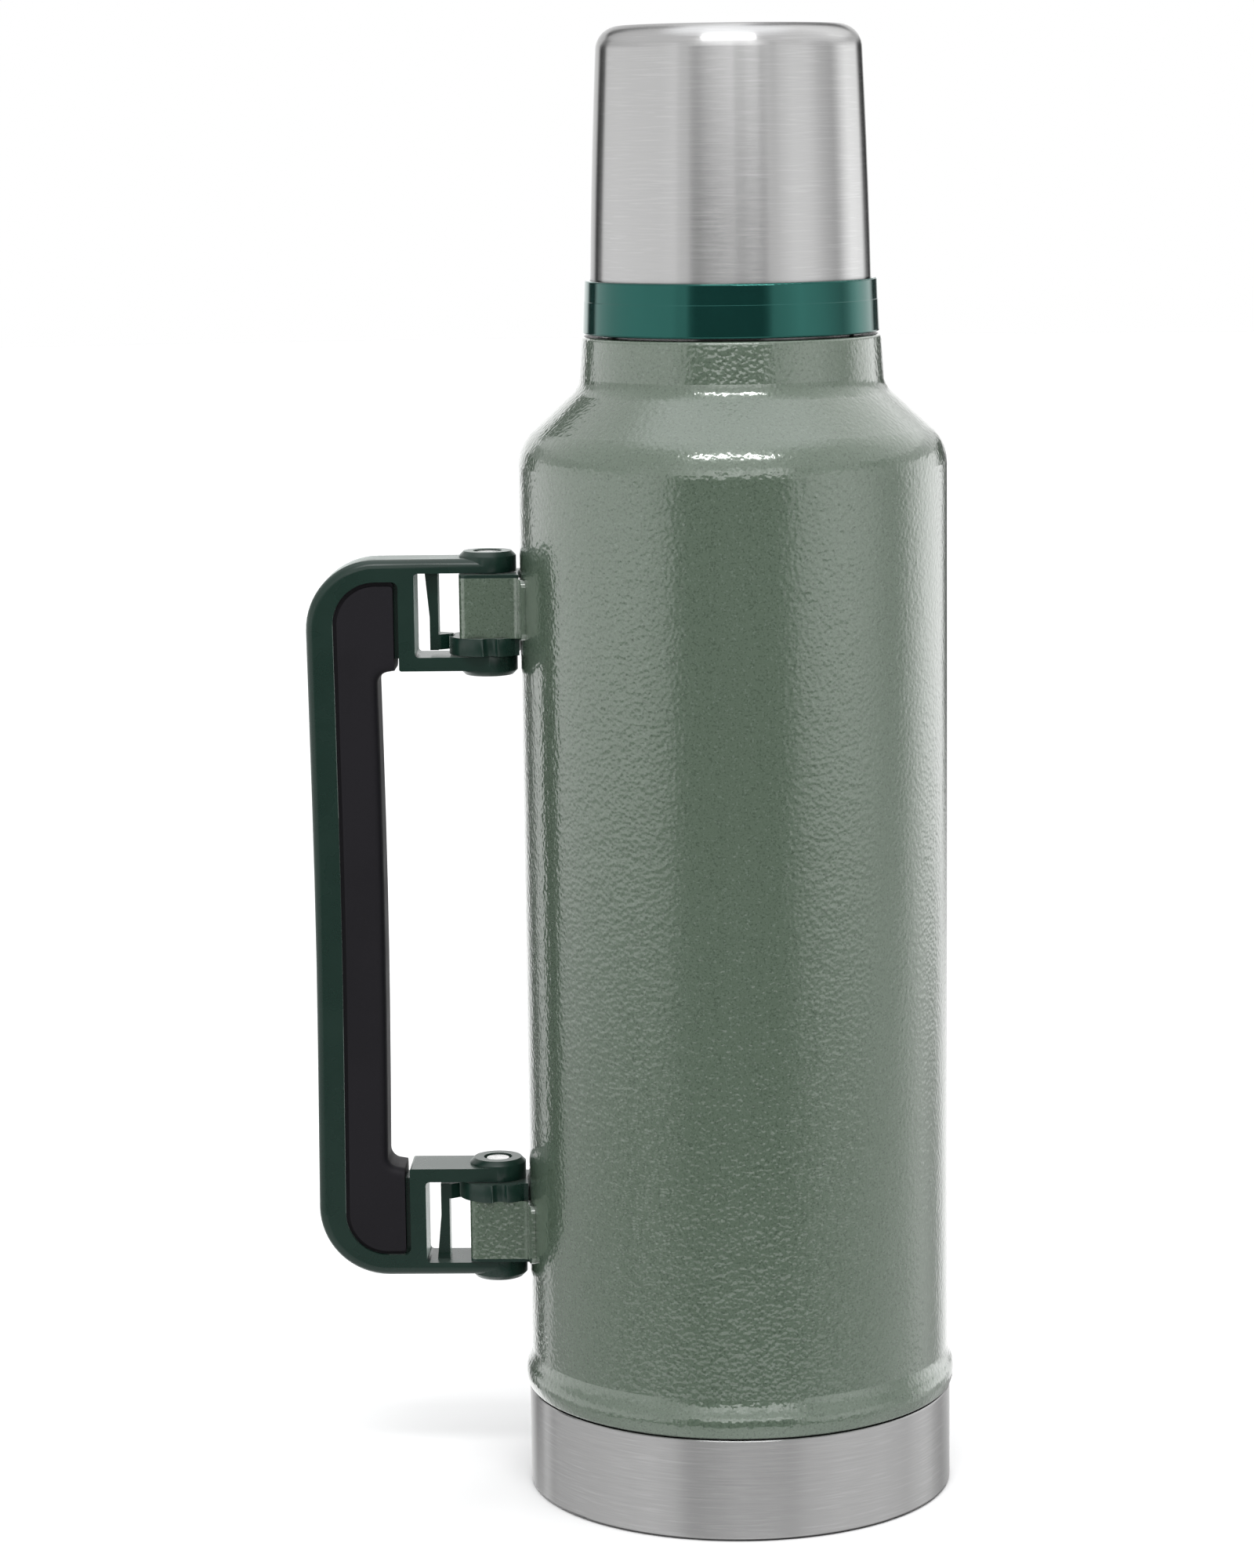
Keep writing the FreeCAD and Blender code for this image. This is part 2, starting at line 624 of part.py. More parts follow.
# --------------------------------------------------------------------------------------
# Vacuum bottle
# --------------------------------------------------------------------------------------
def make_inner_vessel():
    """Inner bottle: wall, shoulder, throat, stopper seat and mouth with its thread."""
    body = new_body("inner_vessel")
    wall = s.vessel_wall
    inner = s.vessel_inner_radius
    turn(body, "vessel", [
        P(s.mouth_radius, s.mouth_height),
        P(s.mouth_radius + wall, s.mouth_height),
        P(s.mouth_radius + wall, s.seat_height - wall),
        P(s.throat_radius + wall, s.seat_height - wall),
        P(s.throat_radius + wall, s.vessel_shoulder_top, s.throat_round - wall),
        P(inner + wall, s.vessel_shoulder_foot, s.vessel_shoulder_round + wall),
        P(inner + wall, s.vessel_foot_height),
        P(inner, s.vessel_foot_height),
        P(inner, s.vessel_shoulder_foot - s.inner_drop, s.vessel_shoulder_round),
        P(s.throat_radius, s.vessel_shoulder_top - s.vessel_wall, s.throat_round),
        P(s.throat_radius, s.seat_height),
        P(s.mouth_radius, s.seat_height),
    ])
    thread_ridge(
        body, "mouth_thread", s.mouth_radius, s.mouth_ridge,
        s.mouth_height - s.inner_thread_run - s.inner_thread_end, s.inner_thread_run, outward=False)


def make_inner_bottom():
    """Dished bottom, welded inside the lower end of the inner vessel."""
    body = new_body("inner_bottom")
    wall = s.vessel_wall
    rim = s.vessel_inner_radius
    margin = rim - s.bottom_margin
    middle = margin - s.bottom_slope_width
    low = s.vessel_foot_height + s.bottom_inset
    high = s.vessel_foot_height + s.bottom_rise
    turn(body, "bottom", [
        P(0, high + wall),
        P(middle, high + wall, s.bottom_round),
        P(margin, low + wall),
        P(rim - wall, low + wall),
        P(rim - wall, s.vessel_foot_height + s.lip_height),
        P(rim, s.vessel_foot_height + s.lip_height),
        P(rim, low),
        P(margin, low),
        P(middle, high, s.bottom_round),
        P(0, high),
    ])


def make_outer_bottom_plate():
    """Plate that closes the vacuum space, with a dimple round the evacuation hole."""
    body = new_body("outer_bottom_plate")
    wall = s.bottom_plate_wall
    low = s.outer_bottom_height
    top = low + wall
    rim = s.skirt_radius - s.shell_wall
    slope_end = s.dimple_radius + s.dimple_slope_width
    turn(body, "plate", [
        P(s.seal_hole_radius, low + s.dimple_height),
        P(s.seal_hole_radius, top + s.dimple_height),
        P(s.dimple_radius, top + s.dimple_height),
        P(slope_end, top),
        P(rim - wall, top),
        P(rim - wall, top + s.lip_height),
        P(rim, top + s.lip_height),
        P(rim, low),
        P(slope_end, low),
        P(s.dimple_radius, low + s.dimple_height),
    ])


def make_vacuum_seal_bead():
    """Bead that fills the evacuation hole from below."""
    body = new_body("vacuum_seal_bead")
    plate_low = s.outer_bottom_height + s.dimple_height
    turn(body, "bead", [
        P(0, plate_low - s.bead_depth),
        P(s.bead_underside_radius, plate_low - s.bead_depth, s.bead_edge_round),
        P(s.bead_neck_radius, plate_low),
        P(s.seal_hole_radius, plate_low),
        P(s.seal_hole_radius, plate_low + s.bottom_plate_wall),
        P(0, plate_low + s.bottom_plate_wall),
    ])


def make_getter():
    """Getter capsule and the sheet clip that holds it on the bottom plate."""
    plate_top = s.outer_bottom_height + s.bottom_plate_wall
    strip_top = plate_top + s.clip_wall
    clip = new_body("getter_clip")
    reach = s.getter_radius + s.clip_tab
    strip = outline_sketch(clip, "strip_outline", "XZ_Plane", [
        P(s.getter_offset - reach, plate_top),
        P(s.getter_offset - reach, strip_top),
        P(s.getter_offset + reach, strip_top),
        P(s.getter_offset + reach, plate_top),
    ])
    pad(clip, "strip", strip, s.clip_width, symmetric=True)
    for name, side in (("near_lug", -1), ("far_lug", 1)):
        inner = s.getter_offset + s.getter_radius * side
        outer = s.getter_offset + (s.getter_radius + s.clip_wall) * side
        lug = outline_sketch(clip, name + "_outline", "XZ_Plane", [
            P(inner, strip_top),
            P(inner, strip_top + s.lug_height),
            P(outer, strip_top + s.lug_height),
            P(outer, strip_top),
        ])
        pad(clip, name, lug, s.lug_width, symmetric=True)
    capsule = new_body("getter_capsule")
    disc = circle_sketch(capsule, "capsule_circle", s.getter_offset, 0, s.getter_radius, strip_top)
    pad(capsule, "capsule", disc, s.getter_height)


def make_threaded_collar():
    """Bare steel collar round the mouth, with the male thread for the cup."""
    body = new_body("threaded_collar")
    wall = s.collar_wall
    foot = s.neck_top_height - s.shell_wall - s.collar_depth
    turn(body, "collar", [
        P(s.collar_radius - wall, foot),
        P(s.collar_radius, foot),
        P(s.collar_radius, s.mouth_height, s.collar_edge_round),
        P(s.mouth_radius + s.vessel_wall, s.mouth_height),
        P(s.mouth_radius + s.vessel_wall, s.mouth_height - wall),
        P(s.collar_radius - wall, s.mouth_height - wall),
    ])
    thread_ridge(
        body, "collar_thread", s.collar_radius, s.collar_ridge,
        s.neck_top_height + s.outer_thread_start, s.outer_thread_run)


# --------------------------------------------------------------------------------------
# Drinking cup
# --------------------------------------------------------------------------------------
def make_cup_shell():
    """Brushed outer wall of the cup, closed on top; its lower end sits in the ring's slot."""
    body = new_body("cup_shell")
    wall = s.cup_wall
    shell = turn(body, "shell", [
        P(0, s.cup_top_height),
        P(s.cup_top_radius, s.cup_top_height),
        bulge(s.cup_bow),
        P(s.cup_foot_radius, s.cup_side_foot),
        P(s.cup_foot_radius, s.cup_foot_height),
        P(s.cup_foot_radius - wall, s.cup_foot_height),
        P(s.cup_foot_radius - wall, s.cup_side_foot),
        bulge(s.cup_bow, left=False),
        P(s.cup_top_radius - wall, s.cup_top_height - wall),
        P(0, s.cup_top_height - wall),
    ])
    outer = fillet(
        body, "top_edge", shell, ring_at(s.cup_top_radius, s.cup_top_height), s.cup_top_round)
    fillet(
        body, "top_edge_inside", outer,
        ring_at(s.cup_top_radius - wall, s.cup_top_height - wall), s.cup_top_round - wall)


def make_cup_liner():
    """Inner wall of the cup. Its flange rests on the ring's ledge."""
    body = new_body("cup_liner")
    wall = s.liner_wall
    foot = s.ring_ledge_height
    turn(body, "liner", [
        P(0, s.liner_top_height),
        P(s.liner_top_radius, s.liner_top_height, s.liner_top_round),
        P(s.liner_foot_radius, foot + wall, s.liner_foot_round),
        P(s.liner_flange_radius, foot + wall),
        P(s.liner_flange_radius, foot),
        P(s.liner_foot_radius - wall, foot),
        P(s.liner_top_radius - wall, s.liner_top_height - wall, s.liner_top_round - wall),
        P(0, s.liner_top_height - wall),
    ])


def make_cup_ring():
    """Green ring: band outside, slot for the cup's steel, ledge and female thread inside."""
    body = new_body("cup_ring")
    slot_inner = s.cup_foot_radius - s.cup_wall - s.slot_clearance
    slot_outer = s.cup_foot_radius + s.slot_clearance
    seal_top = s.mouth_height + s.cup_seal_height
    turn(body, "ring", [
        P(slot_outer, s.ring_top_height),
        P(s.ring_top_radius, s.ring_top_height, s.ring_top_round),
        P(s.ring_step_radius, s.ring_step_height),
        P(s.ring_step_radius + s.ring_step, s.ring_step_height - s.ring_step),
        P(s.ring_foot_radius, s.ring_foot_height, s.ring_foot_round),
        P(s.ring_bore_radius + s.ring_lead_in, s.ring_foot_height),
        P(s.ring_bore_radius, s.ring_foot_height + s.ring_lead_in),
        P(s.ring_bore_radius, seal_top),
        P(s.ring_ledge_radius, seal_top),
        P(s.ring_ledge_radius, s.ring_ledge_height),
        P(slot_inner - s.slot_taper, s.ring_ledge_height),
        P(slot_inner, s.cup_side_foot),
        P(slot_inner, s.cup_foot_height),
        P(slot_outer, s.cup_foot_height),
    ])
    thread_ridge(
        body, "ring_thread", s.ring_bore_radius, s.ring_ridge,
        s.neck_top_height + s.outer_thread_start + s.thread_lead * 0.5, s.ring_thread_run,
        outward=False)


def make_cup_seal():
    """Flat ring that rests on the mouth and is trapped under the ring's ledge."""
    body = new_body("cup_seal")
    turn(body, "seal", [
        P(s.cup_seal_inner_radius, s.mouth_height),
        P(s.cup_seal_outer_radius, s.mouth_height),
        P(s.cup_seal_outer_radius, s.mouth_height + s.cup_seal_height),
        P(s.cup_seal_inner_radius, s.mouth_height + s.cup_seal_height),
    ])


# --------------------------------------------------------------------------------------
# Stopper
# --------------------------------------------------------------------------------------
def make_stopper_plug():
    """Hollow threaded plug with two pour channels down its side."""
    body = new_body("stopper_plug")
    foot = s.plug_foot_height
    flange_low = s.mouth_height + s.flange_gap
    turn(body, "plug", [
        P(0, foot - s.boss_depth),
        P(s.boss_radius, foot - s.boss_depth, s.boss_round),
        P(s.boss_radius, foot),
        P(s.plug_radius, foot),
        P(s.plug_radius, flange_low),
        P(s.plug_flange_radius, flange_low),
        P(s.plug_flange_radius, s.plug_flange_height),
        P(s.plug_bore_radius, s.plug_flange_height),
        P(s.plug_bore_radius, foot + s.plug_floor),
        P(0, foot + s.plug_floor),
    ])
    thread_ridge(
        body, "plug_thread", s.plug_radius, s.plug_ridge,
        s.mouth_height - s.inner_thread_run - s.inner_thread_end + s.thread_lead * 0.5,
        s.plug_thread_run)
    for name, side in (("pour_left", -1), ("pour_right", 1)):
        cut_pour_channel(body, name, side)


def cut_pour_channel(body, name, side):
    """Channel down the plug's side that lets drink out when the plug is unscrewed a little."""
    near = (s.plug_radius - s.pour_depth) * side
    far = (s.plug_radius + s.plug_ridge * 2) * side
    half = s.pour_width * 0.5

    def cut():
        sketch = outline_sketch(body, name + "_outline", "XY_Plane", [
            P(near, -half),
            P(far, -half),
            P(far, half),
            P(near, half),
        ], height=s.mouth_height)
        return pocket(body, name, sketch, s.mouth_height - s.plug_foot_height - s.pour_margin)
    checked_cut(body, cut)


def make_stopper_knob():
    """Finger grip with scallops, closed on top, over the plug's flange."""
    body = new_body("stopper_knob")
    low = s.plug_flange_height
    top = low + s.knob_height
    wall = s.knob_wall
    turn(body, "knob", [
        P(0, top),
        P(s.knob_radius, top, s.knob_edge_round),
        P(s.knob_radius, low),
        P(s.plug_bore_radius - wall, low),
        P(s.plug_bore_radius - wall, top - wall),
        P(0, top - wall),
    ])

    def cut_scallop():
        sketch = circle_sketch(
            body, "scallop_circle", s.knob_radius + s.scallop_offset, 0, s.scallop_radius, low)
        return pocket(body, "scallop", sketch, s.knob_height * 1.1, reversed_way=True)
    scallop = checked_cut(body, cut_scallop)
    pattern = body.newObject("PartDesign::PolarPattern", "scallops")
    pattern.Originals = [scallop]
    axis = [item for item in body.Origin.OriginFeatures if item.Role == "Z_Axis"][0]
    pattern.Axis = (axis, [""])
    pattern.Angle = 360
    pattern.Occurrences = round(s.knob_scallops.number)
    pattern.setExpression("Occurrences", s.knob_scallops.formula)
    body.Tip = pattern


def make_stopper_insulation():
    """Foam that fills the plug and the hollow of the knob."""
    body = new_body("stopper_insulation")
    gap = s.foam_gap
    foot = s.plug_foot_height + s.plug_floor + gap
    step = s.plug_flange_height - gap
    top = s.plug_flange_height + s.knob_height - s.knob_wall - gap
    turn(body, "foam", [
        P(0, foot),
        P(s.plug_bore_radius - gap, foot),
        P(s.plug_bore_radius - gap, step),
        P(s.plug_bore_radius - s.knob_wall - gap, step),
        P(s.plug_bore_radius - s.knob_wall - gap, top),
        P(0, top),
    ])


def make_stopper_seal():
    """Ring under the plug that closes on the seat."""
    body = new_body("stopper_seal")
    turn(body, "seal", [
        P(s.stopper_seal_inner_radius, s.seat_height),
        P(s.stopper_seal_outer_radius, s.seat_height),
        P(s.stopper_seal_outer_radius, s.plug_foot_height),
        P(s.stopper_seal_inner_radius, s.plug_foot_height),
    ])


# --------------------------------------------------------------------------------------
# Hinges: a bracket, its insert with the detent cam, a pin and a spring at each level
# --------------------------------------------------------------------------------------
class Hinge:
    """One hinge level. Its cam is below the bracket when cam_side is -1, above when +1."""

    def __init__(self, name, middle, cam_side):
        self.name = name
        self.middle = middle
        self.cam_side = cam_side

    def at(self, offset):
        """The height of an offset that is counted towards the cam's end."""
        return self.middle + as_size(offset) * self.cam_side

    def span(self, offset_a, offset_b):
        """Lower height and length between two offsets."""
        ends = sorted((self.at(offset_a), self.at(offset_b)), key=float)
        return ends[0], ends[1] - ends[0]


INSERT_END = s.hinge_half_height - s.knuckle_height - s.hinge_gap
HINGES = [
    Hinge("upper", s.upper_hinge_height, -1),
    Hinge("lower", s.lower_hinge_height, 1),
]
PIN_X = -s.pin_offset
STRAP_END = PIN_X - s.strap_reach


def strap_plan(body, name, root, inset, bend, height):
    """Plan of a bracket's closed end, inset from its outside and rounded at the outer corners."""
    half = s.strap_half_width - inset
    return outline_sketch(body, name, "XY_Plane", [
        P(root, -half),
        P(STRAP_END + inset, -half, bend),
        P(STRAP_END + inset, half, bend),
        P(root, half),
    ], height=height)


def make_bracket(hinge):
    """Strap bent round the insert, with two feet that lie on the flask's body."""
    body = new_body(hinge.name + "_bracket")
    low, height = hinge.span(s.insert_flange - INSERT_END, INSERT_END - s.cam_height)
    wall = s.strap_wall
    half = s.strap_half_width.number
    feet = circle_sketch(body, "feet_circle", 0, 0, s.body_radius + wall, low)
    pad(body, "feet", feet, height)

    def cut_feet():
        sketch = circle_sketch(body, "body_circle", 0, 0, s.body_radius, low)
        return pocket(body, "body_hollow", sketch, height, reversed_way=True)
    checked_cut(body, cut_feet)

    def cut_rest():
        """Take away the ring except for the stretch of the two feet."""
        reach = s.body_radius * 1.2
        sketch = outline_sketch(body, "rest_outline", "XY_Plane", [
            P(-reach, -s.foot_half_width),
            P(-reach, -reach),
            P(reach, -reach),
            P(reach, reach),
            P(-reach, reach),
            P(-reach, s.foot_half_width),
            P(-s.foot_cut, s.foot_half_width),
            P(-s.foot_cut, -s.foot_half_width),
        ], height=low)
        return pocket(body, "rest", sketch, height, reversed_way=True)
    checked_cut(body, cut_rest)
    strap = strap_plan(
        body, "strap_outline", s.strap_root_depth - s.body_radius, 0.0, s.strap_bend, low)
    pad(body, "strap", strap, height)

    def cut_inside():
        sketch = strap_plan(
            body, "inside_outline", -s.foot_cut, wall, s.strap_bend - wall, low)
        return pocket(body, "inside", sketch, height, reversed_way=True)
    checked_cut(body, cut_inside)

    def is_inner_bend(edge):
        """Upright edges where the strap's sides meet its feet."""
        box = edge.BoundBox
        upright = box.XLength < NEAR and box.YLength < NEAR and box.ZLength > 5
        return upright and abs(abs(box.YMin) - half) < NEAR and box.XMin > float(PIN_X)

    bends = fillet(body, "inner_bends", body.Tip, is_inner_bend, s.strap_inner_bend)

    def is_foot_corner(edge):
        """Short edges through the sheet at the feet's corners."""
        box = edge.BoundBox
        level = abs(box.ZMin - box.ZMax) < NEAR
        at_end = abs(abs(box.YMin) - s.foot_half_width.number) < NEAR
        return level and at_end and box.YLength < NEAR and box.XLength > 0.3

    fillet(body, "foot_corners", bends, is_foot_corner, s.strap_bend)


def make_detent_cam(hinge):
    """Insert inside the strap, with a thin flange at one end and the lobed cam at the other."""
    body = new_body(hinge.name + "_detent_cam")
    core_low, core_height = hinge.span(-INSERT_END, INSERT_END)
    core = strap_plan(
        body, "core_outline", -s.body_radius, s.strap_wall + s.insert_gap,
        s.strap_bend - s.strap_wall, core_low)
    pad(body, "core", core, core_height)
    flange_low, flange_height = hinge.span(-INSERT_END, s.insert_flange - INSERT_END)
    flange = strap_plan(body, "flange_outline", -s.body_radius, 0.0, s.strap_bend, flange_low)
    pad(body, "flange", flange, flange_height)
    cam_low, cam_height = hinge.span(INSERT_END - s.cam_height, INSERT_END)
    disc = circle_sketch(body, "cam_circle", PIN_X, 0, s.cam_radius, cam_low)
    pad(body, "cam", disc, cam_height)
    for name, folds in (("rest", 0), ("front", 1), ("back", -1)):
        cut_notch(body, name, 180 + folds * s.fold_angle.number, cam_low, cam_height)

    def cut_bore():
        sketch = circle_sketch(
            body, "bore_circle", PIN_X, 0, s.pin_radius + s.pin_clearance, core_low)
        return pocket(body, "bore", sketch, core_height, reversed_way=True)
    checked_cut(body, cut_bore)

    def cut_body():
        sketch = circle_sketch(
            body, "clear_circle", 0, 0, s.body_radius + s.body_clearance, core_low)
        return pocket(body, "body_clear", sketch, core_height, reversed_way=True)
    checked_cut(body, cut_body)


def cut_notch(body, name, degrees, low, height):
    """Notch in the cam's rim at this angle round the pin."""
    angle = math.radians(degrees)
    distance = s.cam_radius + s.notch_offset

    def cut():
        sketch = circle_sketch(
            body, name + "_notch_circle",
            PIN_X + distance * math.cos(angle), distance * math.sin(angle), s.notch_radius, low)
        return pocket(body, name + "_notch", sketch, height, reversed_way=True)
    checked_cut(body, cut)


def make_hinge_pin(hinge):
    """Headed pin, its head sunk in the top knuckle."""
    body = new_body(hinge.name + "_hinge_pin")
    shank_low = hinge.middle - s.hinge_half_height + s.pin_setback
    head_low = hinge.middle + s.hinge_half_height - s.pin_recess_depth + s.pin_fit
    shank = circle_sketch(body, "shank_circle", PIN_X, 0, s.pin_radius, shank_low)
    pad(body, "shank", shank, head_low - shank_low)
    head = circle_sketch(body, "head_circle", PIN_X, 0, s.pin_head_radius, head_low)
    head_pad = pad(body, "head", head, s.pin_head_height)
    head_top = float(head_low + s.pin_head_height)

    def is_head_edge(edge):
        box = edge.BoundBox
        return abs(box.ZMin - head_top) < NEAR and box.XLength > s.pin_radius.number * 2
    chamfer(body, "head_edge", head_pad, is_head_edge, s.pin_head_chamfer)


def make_detent_spring(hinge):
    """Spring finger rooted in one arm, with a toe that rests in the cam's notch."""
    body = new_body(hinge.name + "_detent_spring")
    inner = -s.spring_inner_reach
    root_end = s.window_half_height + s.spring_root_depth
    tip_end = s.window_half_height - s.spring_end_gap
    finger = outline_sketch(body, "finger_outline", "XZ_Plane", [
        P(inner, hinge.at(-root_end)),
        P(inner - s.spring_root_thickness, hinge.at(-root_end)),
        P(inner - s.spring_root_thickness, hinge.at(-s.window_half_height)),
        P(inner - s.spring_thickness, hinge.at(s.spring_taper_length - s.window_half_height)),
        P(inner - s.spring_thickness, hinge.at(tip_end)),
        P(inner, hinge.at(tip_end)),
    ])
    pad(body, "finger", finger, s.spring_half_depth * 2, symmetric=True)
    toe_end = tip_end - s.toe_setback
    toe_low, toe_height = hinge.span(toe_end, toe_end - s.toe_height)
    root = inner - s.toe_root
    shoulder = inner + s.toe_shoulder
    tip = -s.toe_reach
    toe = outline_sketch(body, "toe_outline", "XY_Plane", [
        P(root, -s.spring_half_depth),
        P(shoulder, -s.spring_half_depth),
        P(tip - s.toe_round, -s.toe_half_width),
        P(tip, -s.toe_half_width, s.toe_round),
        P(tip, s.toe_half_width, s.toe_round),
        P(tip - s.toe_round, s.toe_half_width),
        P(shoulder, s.spring_half_depth),
        P(root, s.spring_half_depth),
    ], height=toe_low)
    pad(body, "toe", toe, toe_height)


# --------------------------------------------------------------------------------------
# Handle
# --------------------------------------------------------------------------------------
TOP = s.upper_hinge_height + s.window_half_height + s.arm_thickness
BOTTOM = s.lower_hinge_height - s.window_half_height - s.arm_thickness
MIDDLE = (TOP + BOTTOM) * 0.5
POCKET_TOP = TOP - s.end_rim
POCKET_BOTTOM = BOTTOM + s.end_rim
POCKET_X = -(s.handle_reach - s.side_rim)
UPPER_ARM_FOOT = s.upper_hinge_height - s.window_half_height - s.arm_thickness
LOWER_ARM_TOP = s.lower_hinge_height + s.window_half_height + s.arm_thickness
POCKET_CORNER = s.corner_round - s.side_rim


def window_corners(hinge):
    """The four corners of a hinge's side of the frame, from bottom to top."""
    high = hinge.middle + s.window_half_height
    low = hinge.middle - s.window_half_height
    return [
        P(PIN_X, low),
        P(-s.window_reach, low, s.window_round),
        P(-s.window_reach, high, s.window_round),
        P(PIN_X, high),
    ]


def handle_band(body):
    """Full-depth part of the frame: outer rim, webs and arms."""
    upper, lower = HINGES
    return outline_sketch(body, "band_outline", "XZ_Plane", [
        P(PIN_X, TOP),
        P(-s.handle_reach, TOP, s.corner_round),
        P(-s.handle_reach + s.handle_bow, MIDDLE, s.bow_radius),
        P(-s.handle_reach, BOTTOM, s.corner_round),
        P(PIN_X, BOTTOM),
        *window_corners(lower),
        P(PIN_X, LOWER_ARM_TOP),
        P(-s.web_reach, LOWER_ARM_TOP, s.web_foot_round),
        P(-s.web_reach, POCKET_BOTTOM, s.web_head_round),
        P(POCKET_X, POCKET_BOTTOM, POCKET_CORNER),
        P(POCKET_X + s.pocket_bow, MIDDLE, s.bow_radius),
        P(POCKET_X, POCKET_TOP, POCKET_CORNER),
        P(-s.web_reach, POCKET_TOP, s.web_head_round),
        P(-s.web_reach, UPPER_ARM_FOOT, s.web_foot_round),
        P(PIN_X, UPPER_ARM_FOOT),
        *window_corners(upper),
    ])


def core_outline(body):
    """Thin part of the frame that the grip is moulded round."""
    outer = POCKET_X - s.core_overlap
    inner = -s.grip_inner_reach - s.core_inset
    foot = -s.web_reach + s.core_overlap
    high = POCKET_TOP + s.core_overlap
    low = POCKET_BOTTOM - s.core_overlap
    return outline_sketch(body, "core_outline", "XZ_Plane", [
        P(outer, low, s.core_corner_round),
        P(outer, high, s.core_corner_round),
        P(foot, high),
        P(foot, UPPER_ARM_FOOT + s.core_inset, s.core_foot_round),
        P(inner, UPPER_ARM_FOOT + s.core_inset, s.core_inner_round),
        P(inner, LOWER_ARM_TOP - s.core_inset, s.core_inner_round),
        P(foot, LOWER_ARM_TOP - s.core_inset, s.core_foot_round),
        P(foot, low),
    ])


def make_handle_frame():
    """Moulded frame: outer rim, core, webs, four arms and their knuckles."""
    body = new_body("handle_frame")
    depth = s.handle_half_depth * 2
    band = pad(body, "band", handle_band(body), depth, symmetric=True)
    half = s.handle_half_depth.number
    reach = s.handle_reach.number
    top = TOP.number
    bottom = BOTTOM.number

    def is_rim(edge):
        """Long edges of the outer face, on the front and on the back."""
        box = edge.BoundBox
        on_face = abs(abs(box.YMin) - half) < NEAR and box.YLength < NEAR
        on_top = abs(box.ZMin - top) < NEAR and abs(box.ZMax - top) < NEAR
        on_bottom = abs(box.ZMin - bottom) < NEAR and abs(box.ZMax - bottom) < NEAR
        on_side = box.XMax < -(reach - 1.6) and box.ZLength > 20
        return on_face and (on_top or on_bottom or on_side)
    fillet(body, "rim_round", band, is_rim, s.rim_round)
    pad(body, "core", core_outline(body), s.core_half_depth * 2, symmetric=True)
    for hinge in HINGES:
        add_knuckle(body, hinge.name + "_top", hinge.middle + s.hinge_half_height, -1)
        add_knuckle(body, hinge.name + "_bottom", hinge.middle - s.hinge_half_height, 1)
    for hinge in HINGES:
        cut_pin_holes(body, hinge)
        cut_spring_slot(body, hinge)


def add_knuckle(body, name, outer_height, inward):
    """Round knuckle from its outer end inwards, that end chamfered."""
    low = outer_height if inward > 0 else outer_height - s.knuckle_height
    disc = circle_sketch(body, name + "_circle", PIN_X, 0, s.knuckle_radius, low)
    knuckle = pad(body, name + "_knuckle", disc, s.knuckle_height)
    height = float(outer_height)

    def is_outer_edge(edge):
        box = edge.BoundBox
        level = abs(box.ZMin - height) < NEAR and abs(box.ZMax - height) < NEAR
        return level and box.XLength > s.knuckle_radius.number
    chamfer(body, name + "_edge", knuckle, is_outer_edge, s.knuckle_chamfer)


def cut_pin_holes(body, hinge):
    """Bore through both knuckles and the recess for the pin's head."""
    top = hinge.middle + s.hinge_half_height
    bottom = hinge.middle - s.hinge_half_height

    def cut_bore():
        sketch = circle_sketch(
            body, hinge.name + "_bore_circle", PIN_X, 0, s.pin_radius + s.pin_fit, bottom)
        return pocket(
            body, hinge.name + "_bore", sketch, s.hinge_half_height * 2, reversed_way=True)

    def cut_recess():
        sketch = circle_sketch(
            body, hinge.name + "_recess_circle", PIN_X, 0, s.pin_recess_radius, top)
        return pocket(body, hinge.name + "_recess", sketch, s.pin_recess_depth)
    checked_cut(body, cut_bore)
    checked_cut(body, cut_recess)


def cut_spring_slot(body, hinge):
    """Slot in the arm that holds the spring finger's root, open into the window."""
    inner = -s.spring_inner_reach
    outer = inner - s.spring_root_thickness
    mouth = hinge.at(s.spring_end_gap - s.window_half_height)
    end = hinge.at(-s.window_half_height - s.spring_root_depth)

    def cut():
        sketch = outline_sketch(body, hinge.name + "_slot_outline", "XZ_Plane", [
            P(inner, mouth),
            P(outer, mouth),
            P(outer, end),
            P(inner, end),
        ])
        return pocket(
            body, hinge.name + "_slot", sketch, s.spring_half_depth * 2, symmetric=True)
    checked_cut(body, cut)


def grip_face_outline(body, name, inset):
    """Side view of the grip, inset from the rim of the frame."""
    left = POCKET_X + inset
    high = POCKET_TOP - inset
    low = POCKET_BOTTOM + inset
    corner = POCKET_CORNER - inset
    inner = -s.grip_inner_reach
    foot = -s.grip_foot_reach
    return outline_sketch(body, name, "XZ_Plane", [
        P(left, low, corner),
        P(left + s.pocket_bow, MIDDLE, s.bow_radius),
        P(left, high, corner),
        P(foot, high, s.grip_corner_round),
        P(foot, UPPER_ARM_FOOT),
        P(inner, UPPER_ARM_FOOT - s.grip_foot_slope, s.grip_foot_round),
        P(inner + s.grip_bow, MIDDLE, s.bow_radius),
        P(inner, LOWER_ARM_TOP + s.grip_foot_slope, s.grip_foot_round),
        P(foot, LOWER_ARM_TOP),
        P(foot, low, s.grip_corner_round),
    ])


